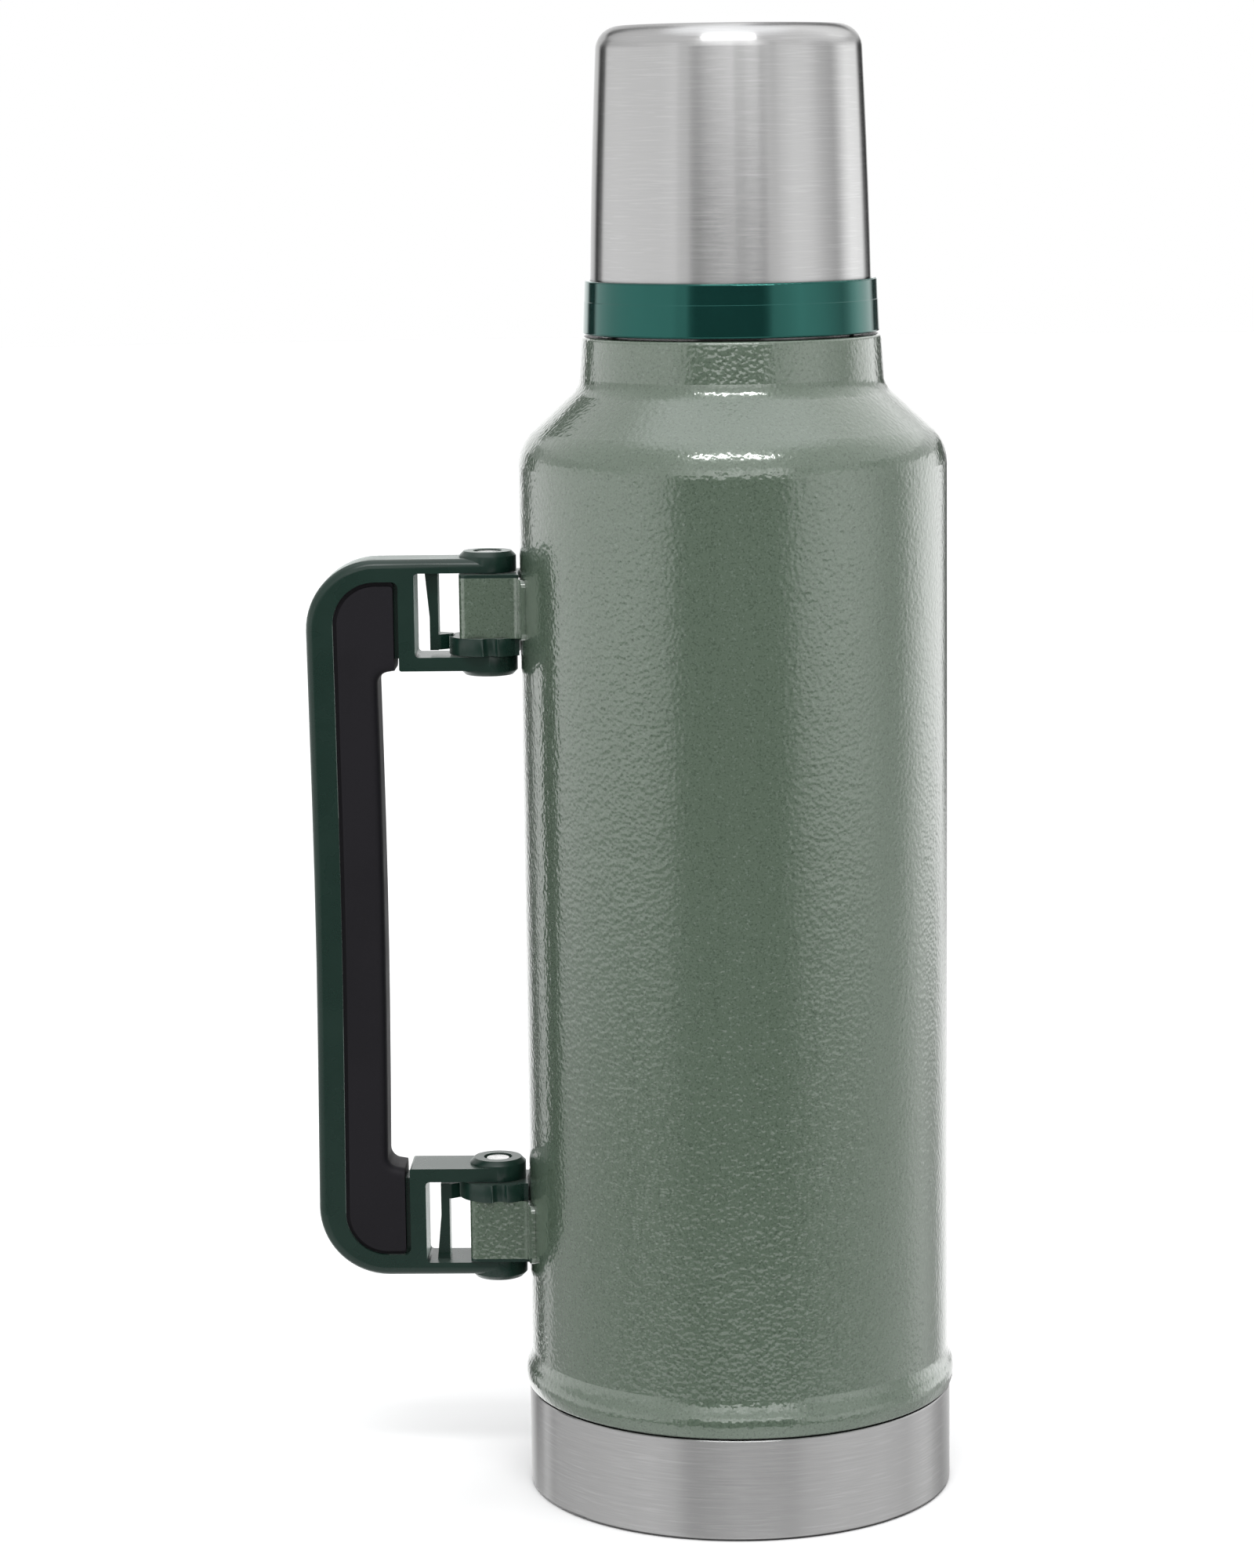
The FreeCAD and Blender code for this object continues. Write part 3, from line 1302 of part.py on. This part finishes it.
def make_grip_overmould():
    """Soft grip moulded round the frame's core, with a groove round its faces."""
    body = new_body("grip_overmould")
    wide = grip_face_outline(body, "wide_outline", 0.0)
    pad(body, "wide", wide, s.grip_step_half_depth * 2, symmetric=True)
    face = grip_face_outline(body, "face_outline", s.grip_rebate)
    face_pad = pad(body, "face", face, s.handle_half_depth * 2, symmetric=True)
    half = s.handle_half_depth.number
    inner = s.grip_inner_reach.number

    def is_inner_edge(edge):
        box = edge.BoundBox
        on_face = abs(abs(box.YMin) - half) < NEAR and box.YLength < NEAR
        return on_face and box.ZLength > 30 and box.XMin > -(inner + 0.5)

    fillet(body, "inner_edges", face_pad, is_inner_edge, s.grip_edge_round)

    def cut_core():
        sketch = core_outline(body)
        return pocket(body, "core_hollow", sketch, s.core_half_depth * 2, symmetric=True)
    checked_cut(body, cut_core)


# --------------------------------------------------------------------------------------
# Build, check and write
# --------------------------------------------------------------------------------------
def build():
    make_outer_shell()
    make_base_cup()
    make_inner_vessel()
    make_inner_bottom()
    make_outer_bottom_plate()
    make_vacuum_seal_bead()
    make_getter()
    make_threaded_collar()
    make_cup_shell()
    make_cup_liner()
    make_cup_ring()
    make_cup_seal()
    make_stopper_plug()
    make_stopper_knob()
    make_stopper_insulation()
    make_stopper_seal()
    for hinge in HINGES:
        make_bracket(hinge)
        make_detent_cam(hinge)
        make_hinge_pin(hinge)
        make_detent_spring(hinge)
    make_handle_frame()
    make_grip_overmould()
    doc.recompute()


def check():
    """Stop if any object failed or any piece is empty, invalid or in more than one solid."""
    for item in doc.Objects:
        if "Invalid" in item.State or "Error" in item.State:
            raise RuntimeError(item.Name + " failed")
    for piece in PIECES:
        shape = piece.Shape
        if shape.isNull() or not shape.isValid() or shape.Volume <= 0:
            raise RuntimeError(piece.Label + " has no valid shape")
        if len(shape.Solids) != 1:
            raise RuntimeError(f"{piece.Label} is {len(shape.Solids)} solids")


def write():
    os.makedirs("parts", exist_ok=True)
    for piece in PIECES:
        piece.Shape.exportStep(f"parts/{piece.Label}.step")
        print(f"{piece.Label}: {piece.Shape.Volume:.0f} mm3")


build()
check()
write()
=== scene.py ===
"""Looks of the vacuum flask: materials, broken edges, floor, studio light and camera.

Metres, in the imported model's own frame: the flask's axis is Z, the handle is on the -X side.
"""

import json
import math

import bpy
from mathutils import Matrix, Vector


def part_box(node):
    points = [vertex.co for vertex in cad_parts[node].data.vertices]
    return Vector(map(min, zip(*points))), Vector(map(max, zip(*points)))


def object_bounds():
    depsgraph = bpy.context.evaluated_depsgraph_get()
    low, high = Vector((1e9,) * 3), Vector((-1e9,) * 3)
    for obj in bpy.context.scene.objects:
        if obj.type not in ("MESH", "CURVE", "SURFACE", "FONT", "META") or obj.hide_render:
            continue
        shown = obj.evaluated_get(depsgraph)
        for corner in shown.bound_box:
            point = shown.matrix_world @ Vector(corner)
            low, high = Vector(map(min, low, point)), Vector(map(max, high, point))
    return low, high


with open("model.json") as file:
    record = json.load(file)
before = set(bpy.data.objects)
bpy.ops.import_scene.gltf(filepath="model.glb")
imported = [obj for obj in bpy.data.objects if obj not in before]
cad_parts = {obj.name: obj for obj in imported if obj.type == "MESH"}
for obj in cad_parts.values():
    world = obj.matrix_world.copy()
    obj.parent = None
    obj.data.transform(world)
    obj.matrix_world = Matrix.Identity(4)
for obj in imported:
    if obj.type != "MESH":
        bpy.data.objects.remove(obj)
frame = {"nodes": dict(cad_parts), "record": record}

CAD_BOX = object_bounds()
MM = 0.001
WHITE = (1.0, 1.0, 1.0)
# Painted shade in narrow gaps: an occlusion node darkens colour and clear coat there, standing
# in for the shade that falls in them.
PAINTED_SHADE_REACH = 2.5 * MM    # how far the dark of a narrow gap reaches
PAINTED_SHADE_CLOSED = 0.30       # share of open sky where a gap is fully dark
PAINTED_SHADE_OPEN = 0.72         # and where it is gone
PAINTED_SHADE_SAMPLES = 8


# --------------------------------------------------------------------------------------
# Node helpers
# --------------------------------------------------------------------------------------
class Nodes:
    """The node tree of a material or world, with short ways to add and join nodes."""

    def __init__(self, owner):
        owner.use_nodes = True
        self.tree = owner.node_tree

    def add(self, kind, **settings):
        node = self.tree.nodes.new(kind)
        for key, value in settings.items():
            setattr(node, key, value)
        return node

    def feed(self, socket, value):
        """Join a socket to another one, or set it to a plain value."""
        if isinstance(value, bpy.types.NodeSocket):
            self.tree.links.new(value, socket)
        else:
            socket.default_value = value

    def place(self, stretch=(1, 1, 1), shift=(0, 0, 0)):
        """Object coordinates in metres, stretched along each axis and then shifted."""
        coordinates = self.add("ShaderNodeTexCoord")
        mapping = self.add("ShaderNodeMapping")
        self.feed(mapping.inputs["Vector"], coordinates.outputs["Object"])
        mapping.inputs["Scale"].default_value = stretch
        mapping.inputs["Location"].default_value = shift
        return mapping.outputs["Vector"]

    def noise(self, scale, detail=2.0, roughness=0.5, stretch=(1, 1, 1)):
        node = self.add("ShaderNodeTexNoise")
        self.feed(node.inputs["Vector"], self.place(stretch))
        node.inputs["Scale"].default_value = scale
        node.inputs["Detail"].default_value = detail
        node.inputs["Roughness"].default_value = roughness
        return node.outputs["Fac"]

    def cells(self, scale, smoothness=0.6):
        node = self.add("ShaderNodeTexVoronoi", feature="SMOOTH_F1")
        self.feed(node.inputs["Vector"], self.place())
        node.inputs["Scale"].default_value = scale
        node.inputs["Smoothness"].default_value = smoothness
        return node.outputs["Distance"]

    def math(self, operation, a, b=0.0):
        node = self.add("ShaderNodeMath", operation=operation)
        self.feed(node.inputs[0], a)
        self.feed(node.inputs[1], b)
        return node.outputs[0]

    def ranged(self, value, low, high, to_low=0.0, to_high=1.0):
        """Stretch the values between low and high to a new range."""
        node = self.add("ShaderNodeMapRange", interpolation_type="SMOOTHSTEP")
        self.feed(node.inputs["Value"], value)
        node.inputs["From Min"].default_value = low
        node.inputs["From Max"].default_value = high
        node.inputs["To Min"].default_value = to_low
        node.inputs["To Max"].default_value = to_high
        return node.outputs["Result"]

    def blend(self, factor, a, b):
        """Mix two colours."""
        node = self.add("ShaderNodeMix", data_type="RGBA")
        self.feed(node.inputs[0], factor)
        for socket, colour in ((node.inputs[6], a), (node.inputs[7], b)):
            self.feed(socket, (*colour, 1) if isinstance(colour, tuple) else colour)
        return node.outputs[2]

    def painted_gap_shade(self):
        """Painted shade factor: 1 in the open, falling to 0 deep in gaps narrower than the
        reach; materials darken their colour by it.
        """
        node = self.add("ShaderNodeAmbientOcclusion", samples=PAINTED_SHADE_SAMPLES)
        node.inputs["Distance"].default_value = PAINTED_SHADE_REACH
        return self.ranged(node.outputs["AO"], PAINTED_SHADE_CLOSED, PAINTED_SHADE_OPEN)

    def bump(self, height, depth, strength=1.0, under=None):
        """A normal from a height field of this depth in metres."""
        node = self.add("ShaderNodeBump")
        self.feed(node.inputs["Height"], height)
        node.inputs["Distance"].default_value = depth
        node.inputs["Strength"].default_value = strength
        if under is not None:
            self.feed(node.inputs["Normal"], under)
        return node.outputs["Normal"]


class Material(Nodes):
    """A new material, with its Principled shader."""

    def __init__(self, name):
        self.material = bpy.data.materials.new(name)
        super().__init__(self.material)
        self.shader = self.tree.nodes["Principled BSDF"]

    def set(self, **inputs):
        """Set the shader's inputs; an underscore stands for a space."""
        for key, value in inputs.items():
            if isinstance(value, tuple) and len(value) == 3:
                value = (*value, 1)
            self.feed(self.shader.inputs[key.replace("_", " ")], value)


# --------------------------------------------------------------------------------------
# Materials
# --------------------------------------------------------------------------------------
def hammertone_paint():
    """Grey-green hammered paint with fine dark specks under a pebbled, glossy clear coat."""
    n = Material("hammertone_paint")
    specks = n.ranged(n.noise(1800, detail=2.0, roughness=0.6), 0.47, 0.35)
    flecks = n.ranged(n.noise(1500, detail=1.0), 0.58, 0.74)
    broad = n.ranged(n.noise(14, detail=2.0), 0.3, 0.7)
    colour = n.blend(broad, (0.078, 0.112, 0.078), (0.083, 0.118, 0.084))
    colour = n.blend(n.math("MULTIPLY", flecks, 0.5), colour, (0.135, 0.175, 0.140))
    colour = n.blend(n.math("MULTIPLY", specks, 0.62), colour, (0.036, 0.057, 0.037))
    # Painted shade: the colour goes near black, and the clear coat fades, deep in narrow gaps.
    gap_shade = n.painted_gap_shade()
    colour = n.blend(gap_shade, (0.004, 0.006, 0.004), colour)
    pebbles = n.math("ADD", n.cells(900, smoothness=0.7), n.noise(800, detail=1.0))
    skin = n.bump(n.noise(170, detail=1.0), 0.12 * MM, 0.5)
    skin = n.bump(pebbles, 0.060 * MM, 1.0, under=skin)
    n.set(Base_Color=colour, Metallic=0.12, Normal=skin, IOR=1.55)
    n.set(Roughness=n.ranged(n.noise(900), 0.3, 0.7, 0.20, 0.26))
    n.set(Coat_Weight=n.math("MULTIPLY", gap_shade, 0.95), Coat_IOR=1.68)
    n.set(Coat_Roughness=0.045, Coat_Normal=skin)
    return n.material


def brushed_steel():
    """Steel brushed round its axis: reflections draw out along the axis, not across it."""
    n = Material("brushed_steel")
    fine = n.noise(1.0, detail=3.0, roughness=0.7, stretch=(60, 60, 7000))
    broken = n.noise(1.0, detail=2.0, stretch=(90, 90, 2000))
    broad = n.noise(22, detail=2.0)
    colour = n.blend(n.ranged(fine, 0.3, 0.7), (0.475, 0.475, 0.475), (0.515, 0.515, 0.513))
    colour = n.blend(n.ranged(broken, 0.52, 0.72, 0.0, 0.50), colour, (0.58, 0.58, 0.58))
    colour = n.blend(n.ranged(broad, 0.3, 0.7, 0.0, 0.3), colour, (0.505, 0.503, 0.499))
    # Painted shade: the colour goes near black deep in narrow gaps.
    colour = n.blend(n.painted_gap_shade(), (0.01, 0.01, 0.01), colour)
    lines = n.math("ADD", fine, n.math("MULTIPLY", broken, 0.3))
    tangent = n.add("ShaderNodeTangent", direction_type="RADIAL", axis="Z")
    n.set(Base_Color=colour, Metallic=1.0, Tangent=tangent.outputs[0])
    n.set(Anisotropic=0.95, Anisotropic_Rotation=0.25, Specular_Tint=(0.62, 0.62, 0.62))
    n.set(Roughness=n.ranged(lines, 0.4, 0.9, 0.19, 0.23))
    n.set(Normal=n.bump(lines, 0.006 * MM, 0.5))
    return n.material


def inner_steel():
    """Bare drawn steel inside, smooth, with faint spinning marks."""
    n = Material("inner_steel")
    spun = n.noise(1.0, detail=2.0, stretch=(10, 10, 1400))
    haze = n.noise(35, detail=3.0)
    colour = n.blend(n.ranged(haze, 0.3, 0.7), (0.55, 0.55, 0.545), (0.62, 0.618, 0.61))
    n.set(Base_Color=colour, Metallic=1.0, Normal=n.bump(spun, 0.01 * MM, 0.3))
    n.set(Roughness=n.ranged(n.math("ADD", spun, haze), 0.7, 1.3, 0.18, 0.32))
    return n.material


def polished_pin():
    """Turned pin with faint rings from the lathe."""
    n = Material("polished_pin")
    low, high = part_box("upper_hinge_pin")
    ring_frequency = 16000.0    # radians a metre: a ring every 0.39 mm
    flat = n.place(stretch=(1, 1, 0), shift=(-(low.x + high.x) / 2, 0, 0))
    distance = n.add("ShaderNodeVectorMath", operation="LENGTH")
    n.feed(distance.inputs[0], flat)
    rings = n.math("SINE", n.math("MULTIPLY", distance.outputs["Value"], ring_frequency))
    scuffs = n.noise(700, detail=3.0)
    colour = n.blend(n.ranged(scuffs, 0.35, 0.7), (0.74, 0.74, 0.735), (0.60, 0.60, 0.59))
    n.set(Base_Color=colour, Metallic=1.0, Normal=n.bump(rings, 0.01 * MM, 0.3))
    n.set(Roughness=n.ranged(scuffs, 0.3, 0.7, 0.16, 0.30))
    return n.material


def green_gloss():
    """Glossy teal-green moulded ring."""
    n = Material("green_gloss")
    flow = n.noise(60, detail=2.0, stretch=(1, 1, 0.3))
    ripple = n.noise(140, detail=1.0)
    colour = n.blend(n.ranged(flow, 0.3, 0.7), (0.0120, 0.082, 0.069), (0.0140, 0.092, 0.078))
    # Painted shade: the colour goes near black, and the clear coat fades, deep in narrow gaps.
    gap_shade = n.painted_gap_shade()
    colour = n.blend(gap_shade, (0.001, 0.002, 0.002), colour)
    n.set(Base_Color=colour, Metallic=0.80, IOR=1.4, Coat_Roughness=0.02)
    n.set(Roughness=n.ranged(n.noise(400, detail=3.0), 0.3, 0.7, 0.06, 0.10))
    n.set(Normal=n.bump(ripple, 0.05 * MM, 0.08), Coat_Weight=n.math("MULTIPLY", gap_shade, 0.15))
    return n.material


def green_satin():
    """Dark green moulded plastic with a fine spark-eroded grain."""
    n = Material("green_satin")
    grain = n.noise(2600, detail=2.0)
    patches = n.noise(90, detail=3.0)
    patchy = n.ranged(patches, 0.3, 0.7)
    colour = n.blend(patchy, (0.0034, 0.0180, 0.0122), (0.0040, 0.0198, 0.0136))
    colour = n.blend(n.ranged(grain, 0.55, 0.75, 0.0, 0.3), colour, (0.008, 0.034, 0.026))
    n.set(Base_Color=colour, IOR=1.45)
    n.set(Roughness=n.ranged(patches, 0.3, 0.7, 0.26, 0.29))
    n.set(Normal=n.bump(grain, 0.02 * MM, 0.22))
    n.set(Sheen_Weight=0.35, Sheen_Roughness=0.30, Sheen_Tint=(0.82, 1.0, 0.92))
    return n.material


def grip_rubber():
    """Soft charcoal overmould with a powdery grain."""
    n = Material("grip_rubber")
    grain = n.noise(1900, detail=3.0, roughness=0.6)
    smudges = n.noise(45, detail=4.0)
    smudged = n.ranged(smudges, 0.3, 0.7)
    colour = n.blend(smudged, (0.0034, 0.0026, 0.0050), (0.0044, 0.0034, 0.0062))
    colour = n.blend(n.ranged(grain, 0.5, 0.8, 0.0, 0.35), colour, (0.0095, 0.0080, 0.0125))
    n.set(Base_Color=colour, IOR=1.33)
    n.set(Roughness=n.ranged(smudges, 0.3, 0.7, 0.50, 0.62))
    n.set(Normal=n.bump(grain, 0.03 * MM, 0.35))
    return n.material


def silicone():
    """Milky seal rubber."""
    n = Material("silicone")
    cloud = n.noise(160, detail=3.0)
    n.set(Base_Color=n.blend(cloud, (0.50, 0.51, 0.49), (0.62, 0.62, 0.60)))
    n.set(Roughness=n.ranged(cloud, 0.3, 0.7, 0.42, 0.55), IOR=1.41)
    n.set(Subsurface_Weight=0.25)
    n.shader.inputs["Subsurface Radius"].default_value = (1.0, 1.0, 0.9)
    n.set(Subsurface_Scale=0.6 * MM)
    n.set(Normal=n.bump(n.noise(1500), 0.02 * MM, 0.3))
    return n.material


def stopper_black():
    """Black moulded plastic with a fine texture."""
    n = Material("stopper_black")
    grain = n.noise(1700, detail=3.0, roughness=0.6)
    patches = n.noise(80, detail=2.0)
    patchy = n.ranged(patches, 0.3, 0.7)
    n.set(Base_Color=n.blend(patchy, (0.018, 0.018, 0.019), (0.030, 0.030, 0.032)))
    n.set(Roughness=n.ranged(grain, 0.3, 0.7, 0.36, 0.50))
    n.set(Normal=n.bump(grain, 0.03 * MM, 0.35))
    return n.material


def foam():
    """Closed-cell insulating foam."""
    n = Material("foam")
    cells = n.cells(900, smoothness=0.2)
    n.set(Base_Color=n.blend(cells, (0.66, 0.62, 0.50), (0.80, 0.77, 0.68)), Roughness=0.85)
    n.set(Normal=n.bump(cells, 0.2 * MM, 0.6))
    return n.material


def seal_glass():
    """Dark glassy bead with small bubbles."""
    n = Material("seal_glass")
    bubbles = n.cells(1600, smoothness=0.1)
    bubbly = n.ranged(bubbles, 0.1, 0.4)
    n.set(Base_Color=n.blend(bubbly, (0.22, 0.20, 0.15), (0.13, 0.11, 0.08)))
    n.set(Roughness=n.ranged(n.noise(800), 0.3, 0.7, 0.08, 0.2))
    n.set(Normal=n.bump(bubbles, 0.05 * MM, 0.3))
    return n.material


MATERIALS = {make.__name__: make() for make in (
    hammertone_paint, brushed_steel, inner_steel, polished_pin, green_gloss, green_satin,
    grip_rubber, silicone, stopper_black, foam, seal_glass)}


def slot_of(node):
    for item in frame["record"]["subparts"]:
        if item["node"] == node:
            return item["material_slot"]
    raise KeyError(node)


WELD_REACH = 0.001 * MM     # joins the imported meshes' doubled points, so edges can be broken
BREAK_SEGMENTS = 3
BREAK_ANGLE = math.radians(32)  # flatter edges than this stay as they are

# how far the moulded pieces' and the pins' sharp edges are broken, in mm
EDGE_BREAKS = {
    "handle_frame": 0.90, "grip_overmould": 0.45,
    "upper_detent_cam": 0.20, "lower_detent_cam": 0.20, "upper_detent_spring": 0.20,
    "lower_detent_spring": 0.20, "upper_hinge_pin": 0.08, "lower_hinge_pin": 0.08,
}


def dress_nodes():
    """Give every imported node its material, and break the edges of the small pieces."""
    for name, node in frame["nodes"].items():
        for place in node.material_slots:
            place.material = MATERIALS[slot_of(name)]
        if name in EDGE_BREAKS:
            weld = node.modifiers.new("weld", "WELD")
            weld.merge_threshold = WELD_REACH
            edge_break = node.modifiers.new("edge_break", "BEVEL")
            edge_break.width = EDGE_BREAKS[name] * MM
            edge_break.segments = BREAK_SEGMENTS
            edge_break.limit_method = "ANGLE"
            edge_break.angle_limit = BREAK_ANGLE
            edge_break.harden_normals = True


dress_nodes()


# --------------------------------------------------------------------------------------
# Floor, light and camera
# --------------------------------------------------------------------------------------
def make_floor():
    """A wide pale floor under the flask. Mirror-like pieces see the studio, not the floor."""
    radius = 6.0
    sides = 96
    n = Material("floor")
    mottle = n.noise(3.0, detail=3.0)
    n.set(Base_Color=n.blend(mottle, (0.950, 0.950, 0.950), (0.965, 0.965, 0.965)))
    n.set(Roughness=0.9, Specular_IOR_Level=0.0)
    turns = [math.tau * side / sides for side in range(sides)]
    rim = [(radius * math.cos(turn), radius * math.sin(turn), 0.0) for turn in turns]
    mesh = bpy.data.meshes.new("floor")
    mesh.from_pydata(rim, [], [list(range(sides))])
    mesh.materials.append(n.material)
    floor = bpy.data.objects.new("floor", mesh)
    bpy.context.scene.collection.objects.link(floor)
    floor.visible_glossy = False


# Studio brightness round the flask: degrees from the front (right is positive), level.
# Each ring of the studio has its own list, from the floor up to just under the ceiling. The
# levels were given one by one, and adjusted by comparing renders with the photograph's
# brightness.
FLOOR_RING = [
    (-180, 1.00), (-155, 1.45), (-145, 1.60), (-140, 1.10), (-133, 0.80), (-124, 0.80),
    (-116, 0.68), (-104, 0.64), (-84, 0.75), (-72, 0.86), (-60, 0.95), (-46, 1.02),
    (-34, 1.00), (-26, 0.85), (-12, 0.92), (0, 1.03), (30, 1.00), (48, 0.88), (60, 0.86),
    (72, 0.80), (84, 0.88), (96, 0.84), (106, 0.66), (119, 0.62), (128, 0.78), (140, 0.78),
    (148, 0.45), (180, 0.45)]
DEEP_RING = [
    (-180, 1.30), (-160, 1.25), (-152, 0.75), (-147, 0.04), (-139, 0.04), (-133, 0.95),
    (-129, 0.90), (-123, 0.30), (-117, 0.50), (-98, 0.56), (-84, 0.46), (-72, 0.38),
    (-60, 0.22), (-48, 0.22), (-36, 0.12), (30, 0.08), (40, 0.16), (52, 0.32), (66, 0.46),
    (80, 0.64), (96, 0.84), (108, 1.00), (118, 1.05), (126, 0.80), (133, 0.50), (141, 0.60),
    (149, 1.05), (156, 1.20), (180, 1.20)]
LOW_RING = [
    (-180, 1.30), (-160, 1.25), (-152, 0.10), (-143, 0.05), (-136, 1.20), (-107, 1.35),
    (-56, 1.27), (-47, 1.18), (-42, 1.00), (-36, 0.96), (-31, 0.36), (-26, 0.14), (26, 0.12),
    (32, 0.52), (38, 1.05), (52, 1.30), (66, 1.32), (78, 1.08), (88, 0.68), (100, 0.56),
    (108, 1.12), (115, 1.55), (120, 1.80), (127, 2.00), (136, 1.80), (149, 1.50), (153, 1.15),
    (157, 0.45), (161, 0.12), (180, 0.08)]
LEVEL_RING = [
    (-180, 1.35), (-151, 1.30), (-145, 0.04), (-134, 0.04), (-128, 1.25), (-116, 1.25),
    (-46, 1.20), (-42, 1.00), (-35, 0.95), (-31, 0.30), (-27, 0.13), (25, 0.12), (29, 0.36),
    (33, 1.00), (42, 1.15), (56, 1.45), (72, 1.20), (88, 0.84), (97, 0.62), (103, 0.90),
    (110, 1.45), (118, 1.80), (139, 1.80), (144, 0.90), (148, 0.05), (162, 0.05), (168, 1.20),
    (180, 1.40)]
UPPER_RING = [
    (-180, 1.25), (-148, 1.20), (-143, 0.35), (-133, 0.35), (-127, 0.70), (-96, 0.72),
    (-60, 0.85), (-46, 1.15), (-42, 0.90), (-35, 0.90), (-31, 1.15), (-24, 1.30),
    (-12, 1.95), (3, 2.50), (5, 1.85), (12, 1.85), (15, 2.25), (24, 2.40), (27, 1.70),
    (32, 1.20), (38, 0.55), (44, 0.85), (60, 0.85), (70, 0.95), (84, 0.58), (95, 0.68),
    (104, 0.85), (138, 0.80), (145, 0.95), (160, 0.95), (166, 1.25), (180, 1.25)]
HIGH_RING = [
    (-180, 1.30), (-162, 1.25), (-158, 0.08), (-149, 0.08), (-144, 0.95), (-100, 0.92),
    (-40, 0.88), (-34, 0.95), (-28, 1.15), (28, 1.15), (34, 0.95), (60, 1.00), (100, 1.15),
    (125, 1.45), (155, 1.50), (160, 0.12), (171, 0.12), (175, 1.30), (180, 1.30)]


# Each later ring fades in over the ones before it, between these two heights of the direction
# looked in (-1 straight down, 0 level, 1 straight up).
RINGS = [
    (-0.025, -0.085, LOW_RING), (-0.12, -0.24, DEEP_RING), (-0.295, -0.325, FLOOR_RING),
    (0.10, 0.14, UPPER_RING), (0.28, 0.36, HIGH_RING)]
CEILING = (0.80, 0.95, (1.74, 1.75, 1.78))


def studio_ramp(n, azimuth, stops):
    """Brightness by direction round the flask."""
    ramp = n.add("ShaderNodeValToRGB")
    n.feed(ramp.inputs["Fac"], azimuth)
    elements = ramp.color_ramp.elements
    for index, (degrees, level) in enumerate(stops):
        where = (degrees + 180) / 360
        element = elements[index] if index < 2 else elements.new(where)
        element.position = where
        element.color = (level, level, level, 1)
    return ramp.outputs["Color"]


def make_world():
    """A studio all round: bright at both sides, behind and overhead, dark in front at the
    camera's level, with narrow dark strips. The camera itself sees a plain white backdrop.
    """
    world = bpy.data.worlds.new("studio")
    bpy.context.scene.world = world
    n = Nodes(world)
    n.tree.nodes.clear()
    parts = n.add("ShaderNodeSeparateXYZ")
    n.feed(parts.inputs[0], n.add("ShaderNodeTexCoord").outputs["Generated"])
    height = parts.outputs["Z"]
    towards_front = n.math("MULTIPLY", parts.outputs["Y"], -1.0)
    turned = n.math("ARCTAN2", parts.outputs["X"], towards_front)
    azimuth = n.math("ADD", n.math("DIVIDE", turned, math.tau), 0.5)
    colour = studio_ramp(n, azimuth, LEVEL_RING)
    for start, full, ring in RINGS:
        fade = n.ranged(height, start, full)
        colour = n.blend(fade, colour, studio_ramp(n, azimuth, ring))
    start, full, ceiling = CEILING
    colour = n.blend(n.ranged(height, start, full), colour, ceiling)
    studio = n.add("ShaderNodeBackground")
    n.feed(studio.inputs["Color"], colour)
    backdrop = n.add("ShaderNodeBackground")
    n.feed(backdrop.inputs["Color"], (*WHITE, 1))
    chosen = n.add("ShaderNodeMixShader")
    n.feed(chosen.inputs[0], n.add("ShaderNodeLightPath").outputs["Is Camera Ray"])
    n.feed(chosen.inputs[1], studio.outputs[0])
    n.feed(chosen.inputs[2], backdrop.outputs[0])
    output = n.add("ShaderNodeOutputWorld")
    n.feed(output.inputs["Surface"], chosen.outputs[0])


def make_key_light():
    """A wide soft strip above the camera, aimed at the shoulder."""
    shoulder_share = 0.75
    elevation = math.radians(50)
    distance = 1.5
    target = Vector((0, 0, CAD_BOX[1].z * shoulder_share))
    light = bpy.data.lights.new("key_light", "AREA")
    light.shape = "RECTANGLE"
    light.size = 1.0
    light.size_y = 0.20
    light.energy = 8.0
    lamp = bpy.data.objects.new("key_light", light)
    bpy.context.scene.collection.objects.link(lamp)
    lamp.location = target + distance * Vector((0, -math.cos(elevation), math.sin(elevation)))
    lamp.rotation_euler = (target - lamp.location).to_track_quat("-Z", "Y").to_euler()
    lamp.visible_camera = False


def make_camera():
    """In front of the flask, near the height of its cup, looking slightly down.

    Distances are in metres and angles in radians.
    """
    distance = 1.0671
    height = 0.3514
    pitch = 0.15545
    pan = -0.02596
    roll = -0.01247
    camera = bpy.data.cameras.new("camera")
    camera.lens = 96.445
    camera.sensor_width = 36.0
    camera.clip_start = 0.05
    camera.clip_end = 50.0
    eye = bpy.data.objects.new("camera", camera)
    bpy.context.scene.collection.objects.link(eye)
    aim = Matrix.Rotation(-pan, 4, "Z") @ Matrix.Rotation(math.pi / 2 - pitch, 4, "X")
    stand = Matrix.Translation((0, -distance, height))
    eye.matrix_world = stand @ aim @ Matrix.Rotation(roll, 4, "Z")
    bpy.context.scene.camera = eye


make_floor()
make_world()
make_key_light()
make_camera()
bpy.context.scene.view_settings.view_transform = "Standard"
